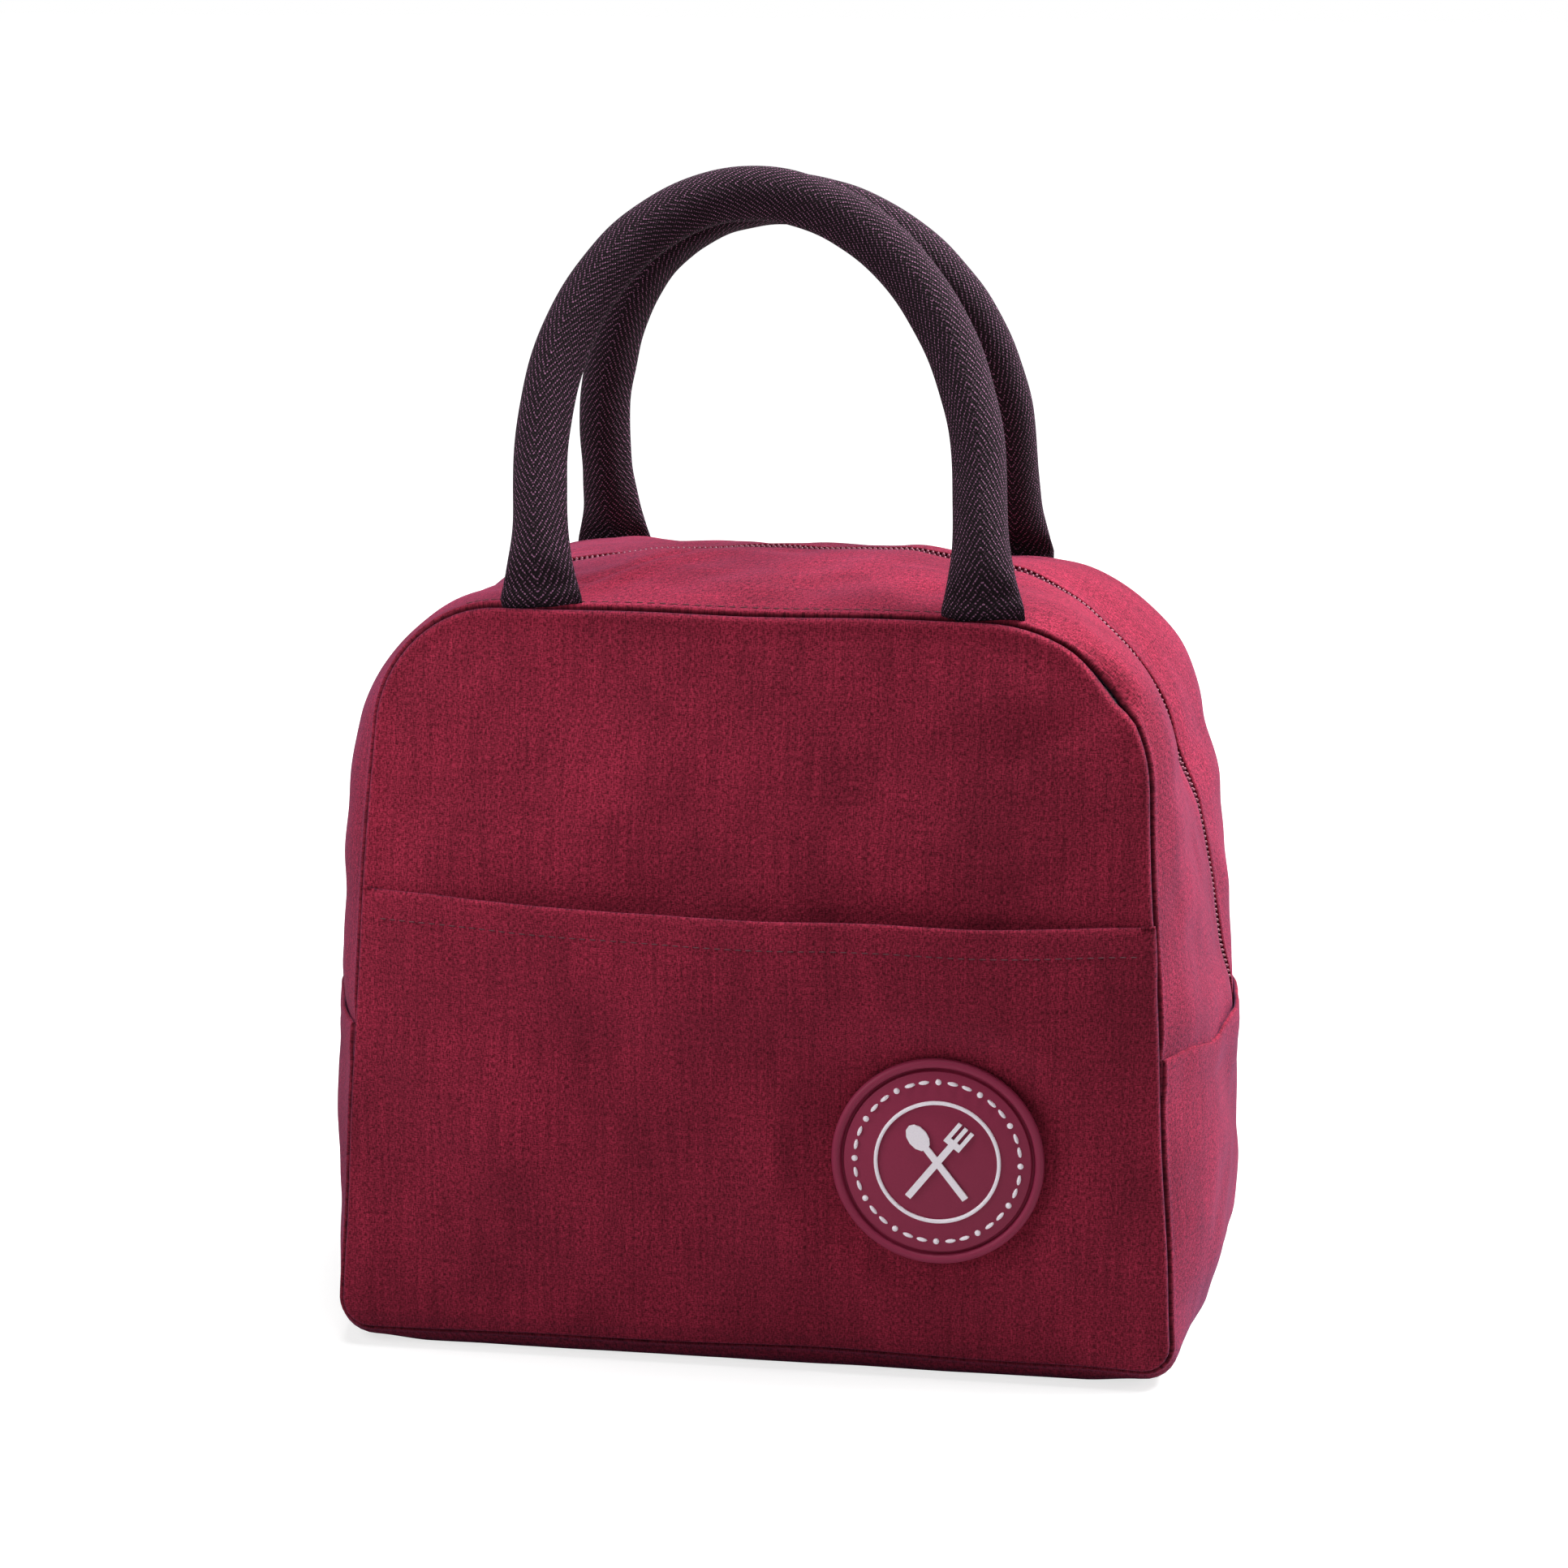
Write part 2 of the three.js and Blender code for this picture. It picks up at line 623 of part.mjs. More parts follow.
// Half the width and thickness of the webbing at a height. Its girth stays nearly the same all the way.
function webbingSize(v) {
  const flare = (1 - Math.min(v / HANDLE_FLARE, 1)) ** 2;
  const wide = HANDLE_RADIUS + (HANDLE_FLAT_WIDTH / 2 - HANDLE_RADIUS) * flare;
  const rest = 2 * HANDLE_RADIUS ** 2 - wide ** 2;
  return { wide, thick: Math.sqrt(Math.max(rest, (HANDLE_FLAT_THICKNESS / 2) ** 2)) };
}

function handleTube(frames, halfSize, sides) {
  return (i, j) => {
    const { point, across } = frames[i];
    const angle = (2 * Math.PI * j) / sides;
    const { wide, thick } = halfSize(point.y);
    const place = point.clone().addScaledVector(across, wide * Math.cos(angle));
    return [place.x, place.y, thick * Math.sin(angle)];
  };
}

// The webbing is a sleeve, open at its two flattened ends
function handleWebbing(line) {
  const frames = webbingRings(line.getLength()).map((share) => handleFrame(line, share));
  const size = (wall) => (v) => {
    const { wide, thick } = webbingSize(v);
    return { wide: wide - wall, thick: thick - wall };
  };
  const faces = [0, WEBBING].map((wall) => handleTube(frames, size(wall), HANDLE_SIDES));
  return body(frames.length - 1, HANDLE_SIDES, faces, true);
}

function handleCore(line) {
  const end = CORE_START / line.getLength();
  const path = new THREE.CatmullRomCurve3(
    evenly(end, 1 - end, CORE_STEPS).map((share) => line.getPoint(share)),
  );
  const radius = (HANDLE_RADIUS - WEBBING) * Math.cos(Math.PI / HANDLE_SIDES) - 2 * FIT;
  const ring = new THREE.Shape().absarc(0, 0, radius, 0, 2 * Math.PI);
  const section = new THREE.Shape(ring.getPoints(CORE_SIDES).slice(0, CORE_SIDES));
  return new THREE.ExtrudeGeometry(section, { steps: CORE_STEPS, extrudePath: path });
}

// Slider, drawn with x outwards from the zip, y across it and z up along it

function sliderPlate(x) {
  const half = SLIDER_HALF_WIDTH;
  const tail = SLIDER_TAIL * half;
  const end = SLIDER_LENGTH / 2;
  const shape = new THREE.Shape();
  shape.moveTo(-half + SLIDER_CORNER, -end);
  shape.lineTo(half - SLIDER_CORNER, -end);
  shape.quadraticCurveTo(half, -end, half, -end + SLIDER_CORNER);
  shape.lineTo(half, 0);
  shape.lineTo(tail, end);
  shape.lineTo(-tail, end);
  shape.lineTo(-half, 0);
  shape.lineTo(-half, -end + SLIDER_CORNER);
  shape.quadraticCurveTo(-half, -end, -half + SLIDER_CORNER, -end);
  return slab(shape, SLIDER_PLATE, 3)
    .rotateX(RIGHT_ANGLE)
    .rotateZ(RIGHT_ANGLE)
    .translate(x, 0, 0);
}

function zipSlider() {
  const outerFace = -TAPE_OUTER + FIT;
  const innerFace = -TAPE_OUTER - TEETH_THICKNESS - FIT;
  const middle = (outerFace + innerFace) / 2;
  const postZ = SLIDER_POST - SLIDER_LENGTH / 2;
  const foot = (BRIDGE_LENGTH - BRIDGE_BAR) / 2;
  const bridgeBase = outerFace + SLIDER_PLATE;
  const legX = bridgeBase + BRIDGE_HEIGHT / 2 - FIT / 2;
  const leg = (z) => box(BRIDGE_HEIGHT + FIT, BRIDGE_WIDTH, BRIDGE_BAR, legX, 0, z);
  const archX = bridgeBase + BRIDGE_HEIGHT - BRIDGE_BAR / 2;
  return join([
    sliderPlate(outerFace),
    sliderPlate(innerFace - SLIDER_PLATE),
    box(outerFace - innerFace + SLIDER_PLATE, 2 * SLIDER_POST, 2 * SLIDER_POST, middle, 0, postZ),
    leg(-foot),
    leg(foot),
    box(BRIDGE_BAR, BRIDGE_WIDTH, BRIDGE_LENGTH, archX, 0, 0),
  ]);
}

// The pull hangs from its bar, which lies under the slider's bridge at its own origin
function zipPull() {
  const half = PULL_HALF_WIDTH;
  const bar = PULL_THICKNESS / 2;
  const shape = new THREE.Shape();
  shape.moveTo(-half, bar);
  shape.lineTo(-half, -PULL_LENGTH + half);
  shape.absarc(0, -PULL_LENGTH + half, half, Math.PI, 2 * Math.PI);
  shape.lineTo(half, bar);
  const slot = new THREE.Path();
  slot.moveTo(-PULL_SLOT_HALF, -bar);
  slot.lineTo(PULL_SLOT_HALF, -bar);
  slot.lineTo(PULL_SLOT_HALF, -bar - PULL_SLOT_LENGTH);
  slot.lineTo(-PULL_SLOT_HALF, -bar - PULL_SLOT_LENGTH);
  shape.holes.push(slot);
  return slab(shape, PULL_THICKNESS)
    .translate(0, 0, -PULL_THICKNESS / 2)
    .rotateX(RIGHT_ANGLE)
    .rotateZ(RIGHT_ANGLE);
}

// Materials

const finish = (color, roughness, metalness = 0) =>
  new THREE.MeshStandardMaterial({ color, roughness, metalness });
const winePolyester = () => finish("#8a2140", 0.9);
const whiteFoam = () => finish("#e9e9ec", 0.95);
const silverFoil = () => finish("#c9ccd1", 0.35, 0.6);
const plumWebbing = () => finish("#3a2233", 0.85);
const cottonCord = () => finish("#d9d2c8", 0.95);
const wineRubber = () => finish("#8a2745", 0.5);
const whiteRubber = () => finish("#efdcf5", 0.5);
const wineTape = () => finish("#7c1c38", 0.85);
const wineNylon = () => finish("#5e1229", 0.45);
const paintedZinc = () => finish("#7c1c38", 0.4, 0.4);

// Assembly

const bag = new THREE.Group();

function add(name, geometry, material, parent = bag) {
  const mesh = new THREE.Mesh(geometry, material);
  mesh.name = name;
  parent.add(mesh);
  return mesh;
}

// The tub below the fold
add("gusset", gussetLayer(0, CLOTH), winePolyester());
add("gusset_foam", gussetLayer(FOAM_OUTER, FOAM_INNER), whiteFoam());
add("gusset_lining", gussetLayer(LINING_OUTER, LINING_INNER), silverFoil());

for (const [name, side] of [
  ["front", -1],
  ["back", 1],
]) {
  const low = (inset, outer, inner) => faceLayer(LOWER, side, inset, outer, inner);
  const high = (inset, outer, inner) => faceLayer(UPPER, side, inset, outer, inner);
  add(`${name}_panel_lower`, low(0, 0, CLOTH), winePolyester());
  add(`${name}_foam_lower`, low(FACE_INSET, FOAM_OUTER, FOAM_INNER), whiteFoam());
  add(`${name}_lining_lower`, low(FACE_INSET, LINING_OUTER, LINING_INNER), silverFoil());
  add(`${name}_binding_lower`, binding(LOWER, side), wineTape());

  // The leaf above the fold, with its half of the zip
  add(`${name}_panel_upper`, high(0, 0, CLOTH), winePolyester());
  add(`${name}_foam_upper`, high(FACE_INSET, FOAM_OUTER, FOAM_INNER), whiteFoam());
  add(`${name}_lining_upper`, high(FACE_INSET, LINING_OUTER, LINING_INNER), silverFoil());
  add(`${name}_binding_upper`, binding(UPPER, side), wineTape());
  add(`${name}_zip_band`, bandCloth(side), winePolyester());
  add(`${name}_band_foam`, bandFoam(side), whiteFoam());
  add(`${name}_band_lining`, bandLining(side), silverFoil());
  add(`${name}_zip_tape`, zipTape(side), wineTape());
  add(`${name}_zip_teeth`, zipTeeth(side), wineNylon());

  // The handle, turned up out of its own plane and leaned in over the mouth
  const height = side < 0 ? FRONT_HANDLE_HEIGHT : BACK_HANDLE_HEIGHT;
  const line = new HandleLine(height, side < 0 ? FRONT_SWAY : BACK_SWAY);
  const handle = new THREE.Group();
  handle.position.set(0, side * HANDLE_Y, HANDLE_Z);
  handle.rotation.x = RIGHT_ANGLE + side * handleLean(height);
  add(`${name}_handle_webbing`, handleWebbing(line), plumWebbing(), handle);
  add(`${name}_handle_core`, handleCore(line), cottonCord(), handle);
  bag.add(handle);
}

// The pocket on the front, and the badge on it
add(
  "pocket_lower",
  faceLayer(LOWER, -1, 0, POCKET_OUTER, POCKET_INNER),
  winePolyester(),
);
add("pocket_upper", pocketUpper(), winePolyester());

const badge = new THREE.Group();
badge.position.set(BADGE_X, -(BASE_DEPTH / 2 - POCKET_OUTER + FIT), BADGE_Z);
badge.rotation.x = RIGHT_ANGLE;
add("badge_base", badgeBase(), wineRubber(), badge);
add("badge_ring", badgeRing(), whiteRubber(), badge);
add("badge_cutlery", badgeCutlery(), whiteRubber(), badge);
bag.add(badge);

// The slider at the zip's left end, on the straight run up the side
const zipPoint = (place) => {
  const { x, z, nx, nz } = outline(UPPER, -1, place, 0.5);
  const out = bandSwell(-1, place, 0);
  return new THREE.Vector3(-(x + nx * out), 0, z + nz * out);
};
const zipFoot = zipPoint(0);
const zipRun = zipPoint(0.5).sub(zipFoot).normalize();
const sliderZ = SLIDER_LENGTH / 2 + 2 * FIT;
const slider = new THREE.Group();
slider.position.copy(zipFoot).addScaledVector(zipRun, sliderZ);
// Turned half round, so that its x points out of the left side
slider.rotation.order = "ZYX";
slider.rotation.set(0, Math.atan2(-zipRun.x, zipRun.z), Math.PI);
add("zip_slider", zipSlider(), paintedZinc(), slider);
const pull = add("zip_pull", zipPull(), paintedZinc(), slider);
const PULL_SEAT = SLIDER_PLATE - TAPE_OUTER + FIT + (BRIDGE_HEIGHT - BRIDGE_BAR) / 2;
pull.position.x = PULL_SEAT;
bag.add(slider);

export default bag;
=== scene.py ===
import math

import bmesh
import bpy
import numpy as np
from mathutils import Matrix, Vector


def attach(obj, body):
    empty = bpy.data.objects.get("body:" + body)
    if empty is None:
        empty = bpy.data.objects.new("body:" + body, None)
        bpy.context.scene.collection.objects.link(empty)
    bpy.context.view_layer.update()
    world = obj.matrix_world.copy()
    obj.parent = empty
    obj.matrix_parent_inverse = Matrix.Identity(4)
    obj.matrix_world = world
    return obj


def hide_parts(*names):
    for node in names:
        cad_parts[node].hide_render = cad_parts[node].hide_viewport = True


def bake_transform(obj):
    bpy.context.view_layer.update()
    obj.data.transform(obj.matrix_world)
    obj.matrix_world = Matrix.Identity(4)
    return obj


# An insulated fabric lunch bag. Every piece of cloth is cut flat as a pattern, in millimetres, and then
# laid on the form of the bag: x is the width, the front faces -y, and z is up.
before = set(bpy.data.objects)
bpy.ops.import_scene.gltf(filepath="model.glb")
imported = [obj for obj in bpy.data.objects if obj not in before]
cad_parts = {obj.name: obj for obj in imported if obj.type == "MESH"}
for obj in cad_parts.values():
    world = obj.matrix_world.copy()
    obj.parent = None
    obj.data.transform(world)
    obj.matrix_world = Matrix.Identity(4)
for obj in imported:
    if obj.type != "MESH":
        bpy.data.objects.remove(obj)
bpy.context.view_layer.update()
MM = 0.001
RIGHT_ANGLE = math.pi / 2

# The form of the bag, as in the CAD model. Each top corner has its own radius, in front and behind.
BASE_HALF_WIDTH = 116
SIDE_LEAN = math.radians(3.65)
BASE_SEAM = 4
TOP_SEAM = 207.7
BASE_DEPTH = 130
TOP_DEPTH = 105
DEPTH_CURVE = 1.4
FACE_CROWN = 2
FOLD = 95
ZIP_END = 92
UPPER = {"seam": TOP_SEAM, "left": (35, 50), "right": (46, 42), "nominal": 43, "turn": 1, "start": ZIP_END}
LOWER = {"seam": BASE_SEAM, "left": (9, 9), "right": (9, 9), "nominal": 9, "turn": -1, "start": ZIP_END}
SMALLEST_CORNER = 1.5

# How far the strips swell out in their middle, and how the bands bulge beside the front and back seams, at
# places from 0 to 1 along the side, to 2 round the corner and to 3 at the middle of the top or base
SWELL_POWER = 2.2
BASE_ROUNDING = 0.08
LEFT_SWELLS = [(0, 14), (0.74, 7.9), (1, 3.2), (1.5, -0.4), (2, 2.7), (2.5, 7.1), (3, 9.4)]
RIGHT_SWELLS = [(0, 14), (0.74, 8.8), (1, 3.2), (1.5, -0.4), (2, 4.5), (2.5, 8.9), (3, 9.4)]
LEFT_BULGES = (
    [(0, 0), (0.5, 3.5), (1, 5), (1.5, 2), (2, 0), (3, 0)],
    [(0, 0), (0.5, 0), (1, 1.5), (2, 2.5), (2.5, 1), (3, -1.5)],
)
RIGHT_BULGES = (
    [(0, 0), (0.5, 0), (1, 4), (1.5, 5), (2, 1), (3, 0)],
    [(0, 0), (0.5, 4.5), (1, 6.5), (1.5, 5), (2, 0), (2.5, -1.5), (3, -1.5)],
)
GUSSET_SWELLS = [
    (0, 14), (0.55, 13.44), (0.8, 11.2), (1, 6.03), (1.5, 3.6), (2, 2.8), (2.15, BASE_SEAM), (3, BASE_SEAM),
]

# Beyond the CAD model: how much further the right side swells, and how much prouder its back band stands
RIGHT_FULLNESS = 2.2
RIGHT_TILT = 3.4

# The layers of the wall: how thick each is, how deep the foam and lining lie below the outer surface, how
# far inside the seams they end, and how far from the zip's middle
CLOTH = 0.4
FOAM = 4
LINING = 0.5
FOAM_DEPTH = 1.3
LINING_DEPTH = 5.6
FOAM_INSET = 7
LINING_INSET = 5.2
LAYER_EDGE = 15.3

# Seams: both cloths turn in over a small radius and run on together into the bag
SEAM_RADIUS = 1.1
SEAM_TURN = math.radians(133)
SEAM_STEPS = 6
SEAM_ALLOWANCE = 4
SEAM_REACH = (1 + math.sqrt(2)) * SEAM_RADIUS
RIM = 4.6
RIDGE = 0.55

# Pocket: the height of its top edge across its width, from -1 at the left end to 1 at the right
POCKET_TOP = 130
POCKET_TOPS = [(-1, 129.8), (-0.7, 129), (-0.1, 127.4), (0.45, 127.1), (1, 128)]
POCKET_TILT_START = 40
POCKET_BULGE = 5
POCKET_LIFT = 1
HEM = 7.5
HEM_ROLL = 0.8

# Zip
BAND_EDGE = 2.1
BAND_EDGE_AT_SLIDER = 4
BAND_EDGE_TURN = ((0.1, -0.45), (0.6, -0.85), (4, -0.9))
SLIDER_RUN = 52
SLIT_RUN = 34
SLIT = 0.6
TAPE_DEPTH = 1.4
TAPE = 0.5
TAPE_EDGE = 0.3
TAPE_HIDDEN = 14
TAPE_TUCK = 6
COIL_PITCH = 1.5
COIL_DEPTH = 0.75
COIL_DEPTH_AT_SLIDER = 1.75
COIL_PLACE = 0.72
COIL_HALF_SIZE = (0.5, 1.05, 0.62)

# Gusset hem, folded over the lower ends of the bands: how far out each row lies, and how far below the last
GUSSET_HEM = 9
GUSSET_HEM_TURN = ((0.5, 0.25), (0.7, 0.45), (0.4, 0.45), (-GUSSET_HEM, 0.1))
HEM_RISE = 0.5
BAND_TUCK = 9
BAND_DIP = 0.9

# Seam binding inside
BINDING_INSET = 8.7
BINDING_DEPTH = 7.3
BINDING_WIDTH = 7.6
BINDING = 1.4

# Handles
HANDLE_SPACING = 119
HANDLE_RADIUS = 6.8
HANDLE_HEIGHTS = {-1: 114, 1: 111.7}
HANDLE_SWAYS = {-1: 8, 1: 2.5}
HANDLE_LEG = 35
HANDLE_FLAT_WIDTH = 21
HANDLE_FLAT_THICKNESS = 2.8
HANDLE_FLARE = 28
HANDLE_FLARE_POWER = 2.2
HANDLE_BOWS = {-1: 0, 1: 2}
HANDLE_BOW_RUN = 62
HANDLE_BOW_REACH = 26
HANDLE_Z = TOP_SEAM + 2
HANDLE_Y = TOP_DEPTH / 2
WEBBING = 1.1
WEBBING_WIDTH = 42.7
WEBBING_LAP = 3
WEBBING_TUCK = 4
CORD_START = 36
CORD_RADIUS = 4.6
STRANDS = 3
STRAND_LAY = 26

# Badge
BADGE_CENTRE = (51, 63)
BADGE_RADIUS = 28.5
BADGE_THICKNESS = 1.8
BADGE_TOP = 2.5
BADGE_RING = (16, 17)
BADGE_MARK_PLACE = 22.2
BADGE_MARKS = 36
BADGE_STEPS = 96
BADGE_GAP = 0.45

# Stitches: a row above the front seam, by the run from its middle, and one along the pocket's hem
STITCH_PITCH = 2.8
STITCH_LENGTH = 2
THREAD = 0.38
SEAM_STITCHES = (-74, 62)
SEAM_STITCH_INSET = 3.4
HEM_STITCHES = (-100, 104)
HEM_STITCH_RISE = 0.6

# How long the faces of the mesh are, of the cloth, of the layers behind it and of the cords, how many points
# lie across a strip, and how many faces go round the handles and bindings
MESH_STEP = 1.8
LAYER_STEP = 4
CORD_STEP = 1.5
BAND_POINTS = 34
GUSSET_POINTS = 66
BAND_LAYER_POINTS = 12
GUSSET_LAYER_POINTS = 24
TAPE_POINTS = 8
WEBBING_FACES = 44
CORD_FACES = 24
BINDING_FACES = 12

# Folds of the cloth: where each starts and ends, its width and its height. The bands' run from the middle.
FRONT_FOLDS = (((62, 168), (92, 186), 5, -1.1), ((40, 176), (78, 196), 7, 0.8))
BAND_FOLDS = (
    ((-34, -49), (-4, -24), 2.6, -1.3), ((-38, -43), (-6, -18), 4, 1), ((-44, 92), (-16, 84), 4, -0.8),
)

# The deep crease at the right front corner: the face is drawn in and sinks, and the band rises beside it,
# sinks at the seam and is drawn back
CREASE_IN = 2
CREASE_SINK = 1.7
BAND_CREASE_RISE = 0.9
BAND_CREASE_SINK = 2.3
BAND_CREASE_BACK = 1.4

# The slow waves of the whole bag: the height and length of those in x, y and z
BAG_WAVES = ((0.55, 61), (0.75, 66), (0.5, 58))
# How far from the badge's middle, and how high, the waves start and are full
BADGE_CALM = (30, 46)
BASE_CALM = (3, 40)

# How each panel of cloth settles, once simulated: -1 the front, 1 the back, 2 the two zip bands, -2 the
# gusset and 0 the pocket
DRAPES = {}
DRAPE_FRAMES = 20
DRAPE_LIMIT = 1.6
DRAPE_STEP = 6
DRAPE_HELD_ROWS = 2.5
DRAPE_WIDTH = 220
DRAPE_HEIGHT = 200
DRAPE_DEPTH = 116
POCKET_DRAPE_OUT = 0.2
DRAPE_SETTINGS = {
    "quality": 6, "mass": 0.02, "tension_stiffness": 12, "compression_stiffness": 12, "shear_stiffness": 4,
    "bending_stiffness": 0.05, "air_damping": 4, "vertex_group_mass": "seams", "shrink_min": -0.0025,
    "use_pressure": True, "uniform_pressure_force": 0.6,
}

# Light, in metres: each lamp's place, what it points at, its size and its power
WORLD_LIGHT = 0.02
LAMPS = (
    ("key", (1.05, 0.42, 1.55), (0, 0, 0.13), 0.8, 65),
    ("top", (0, -0.1, 1.5), (0, 0, 0.2), 0.6, 17),
    ("rim", (1.3, 0.35, 0.45), (0.1, 0, 0.06), 0.4, 6.5),
    ("fill", (-0.26, -0.25, 0.25), (-0.02, -0.06, 0.14), 0.2, 0.64),
)

SIDES = (("front", -1), ("back", 1))


# Form


def mix(a, b, share):
    return a + (b - a) * share


def ease(value, low, high):
    """0 up to the low value and 1 from the high one, smooth between them."""
    share = np.clip((value - low) / (high - low), 0, 1)
    return share * share * (3 - 2 * share)


def along(keys, place):
    """A smooth value through (place, value) keys, straight on its first stretch and never past a key."""
    x, y = np.array(keys, float).T
    rise = np.diff(y) / np.diff(x)
    slope = np.zeros(len(x))
    slope[:2] = rise[0]
    for k in range(2, len(x) - 1):
        product = rise[k - 1] * rise[k]
        slope[k] = 2 * product / (rise[k - 1] + rise[k]) if product > 0 else 0
    i = np.clip(np.searchsorted(x, place) - 1, 0, len(x) - 2)
    span = x[i + 1] - x[i]
    u = (place - x[i]) / span
    bend = span * (slope[i] * u * (1 - u) ** 2 - slope[i + 1] * u * u * (1 - u))
    return mix(y[i], y[i + 1], u * u * (3 - 2 * u)) + bend


def side_line(z):
    """The half width between the straight sides."""
    return BASE_HALF_WIDTH - math.tan(SIDE_LEAN) * (z - BASE_SEAM)


def corner(half, hand, back, inset=0):
    """The middle and radius of a corner arc: hand is -1 left or 1 right, back is 0 in front to 1 behind."""
    radius = np.where(np.asarray(hand) < 0, mix(*half["left"], back), mix(*half["right"], back))
    radius = np.maximum(radius - inset, SMALLEST_CORNER)
    z = half["seam"] - half["turn"] * (inset + radius)
    return side_line(z) - (inset + radius) / math.cos(SIDE_LEAN), z, radius


def outline(half, hand, place, back, inset=0):
    """Points of the outline and their normals, with x towards their own side: x, z, nx, nz. The place runs
    from 0 to 1 along the side, to 2 round the corner and to 3 at the middle of the top or base."""
    x, z, radius = corner(half, hand, back, inset)
    angle = mix(SIDE_LEAN, half["turn"] * RIGHT_ANGLE, np.clip(place - 1, 0, 1))
    nx, nz = np.cos(angle), np.sin(angle)
    px, pz = x + radius * nx, z + radius * nz
    pz = np.where(place < 1, mix(half["start"], pz, place), pz)
    px = np.where(place < 1, side_line(pz) - inset / math.cos(SIDE_LEAN), px)
    return np.where(place > 2, px * (3 - place), px), pz, nx, nz


def section_lengths(half):
    """How long a strip is along the side, round the corner and on to the middle."""
    radius = half["nominal"]
    z = half["seam"] - half["turn"] * radius
    side = abs(z + radius * math.sin(SIDE_LEAN) - half["start"]) / math.cos(SIDE_LEAN)
    across = side_line(z) - radius / math.cos(SIDE_LEAN)
    return side, radius * (RIGHT_ANGLE - half["turn"] * SIDE_LEAN), across


def strip_length(half):
    return 2 * sum(section_lengths(half))


def stations(half, run):
    """Which hand and place of the outline lie that far along the strip, from its left end, and how far the
    nearer end is."""
    lengths = section_lengths(half)
    total = strip_length(half)
    left = run < total / 2
    from_end = np.where(left, run, total - run)
    marks = np.cumsum([0, *lengths])
    place = np.interp(from_end, marks, [0, 1, 2, 3])
    place = np.where(from_end < 0, from_end / lengths[0], place)
    return np.where(left, -1, 1), place, from_end


def strip_depth(half, run, back):
    """How far from the bag's middle a strip's front or back seam lies, that far along it."""
    hand, place, _ = stations(half, run)
    return face_depth(outline(half, hand, place, back)[1])


def half_width(z, hand, back, inset=0):
    """The half width of a face at that height, with its rounded corners."""
    top_x, top_z, top_radius = corner(UPPER, hand, back, inset)
    base_x, base_z, base_radius = corner(LOWER, hand, back, inset)
    side = side_line(z) - inset / math.cos(SIDE_LEAN)
    top = top_x + np.sqrt(np.maximum(0, top_radius**2 - (z - top_z) ** 2))
    base = base_x + np.sqrt(np.maximum(0, base_radius**2 - (base_z - z) ** 2))
    side = np.where(z - top_z > top_radius * math.sin(SIDE_LEAN), top, side)
    return np.where(base_z - z > -base_radius * math.sin(SIDE_LEAN), base, side)


def from_outline(x, z, back):
    """Which way is out, in a face's plane, and how far inside the outline a point lies."""
    hand = np.where(x < 0, -1, 1)
    nx, nz = hand * math.cos(SIDE_LEAN), np.full_like(x, math.sin(SIDE_LEAN))
    inside = (side_line(z) - np.abs(x)) * math.cos(SIDE_LEAN)
    for half in (UPPER, LOWER):
        cx, cz, radius = corner(half, hand, back)
        past = half["turn"] * (z - cz)
        dx, dz = np.abs(x) - cx, z - cz
        reach = np.maximum(np.hypot(dx, dz), 1e-9)
        round_it = (past > radius * math.sin(SIDE_LEAN)) & (dx > 0)
        flat = (past > 0) & (dx <= 0)
        nx = np.where(round_it, hand * dx / reach, np.where(flat, 0, nx))
        nz = np.where(round_it, dz / reach, np.where(flat, half["turn"], nz))
        inside = np.where(round_it, radius - reach, np.minimum(inside, np.abs(half["seam"] - z)))
    return nx, nz, inside


def side_width(x, z, back):
    """The half width of a face on the side that x is on."""
    return half_width(z, np.where(x < 0, -1, 1), back)


def face_depth(z):
    """How far a face stands from the middle of the bag at that height."""
    share = np.clip((z - FOLD) / (TOP_SEAM - FOLD), 0, 1)
    return (BASE_DEPTH - (BASE_DEPTH - TOP_DEPTH) * share**DEPTH_CURVE) / 2


def face_crown(x, z, back):
    """How far a face bulges out between the fold and the top seam."""
    share = np.clip((z - FOLD) / (TOP_SEAM - FOLD), 0, 1)
    across = np.clip(x / side_width(x, np.clip(z, BASE_SEAM, TOP_SEAM), back), -1, 1)
    return FACE_CROWN * (1 - across**4) * 4 * share * (1 - share)


def pillow(across):
    """The rise of a strip from 0 at the seam to 1 in its middle."""
    return 1 - np.clip(1 - across, 0, 1) ** SWELL_POWER


def fuller(hand, place, start, end):
    """How much further the right side swells, fading from the start to the end."""
    return np.where(hand > 0, RIGHT_FULLNESS * (1 - ease(place, start, end)), 0)


def tilt(hand, place, share):
    """On the right side the back band stands prouder than the front one, so the zip faces forwards."""
    step = ease(share, -0.15, 0.28) - 0.75
    reach = (1 - ease(np.abs(share), 0.5, 1)) * ease(place, 0, 0.25) * (1 - ease(place, 0.9, 1.9))
    return np.where(hand > 0, RIGHT_TILT * step * reach, 0)


def band_swell(hand, place, share):
    across = 1 - np.clip(np.abs(share), 0, 1)
    middle = np.where(hand < 0, along(LEFT_SWELLS, place), along(RIGHT_SWELLS, place))
    middle = middle + fuller(hand, place, 0.4, 1) + tilt(hand, place, share)
    bulges = [np.where(share < 0, *[along(k, place) for k in keys]) for keys in (LEFT_BULGES, RIGHT_BULGES)]
    # The product after 6.75 is at most 1 / 6.75, a third of the way in
    return middle * pillow(across) + np.where(hand < 0, *bulges) * 6.75 * across * (1 - across) ** 2


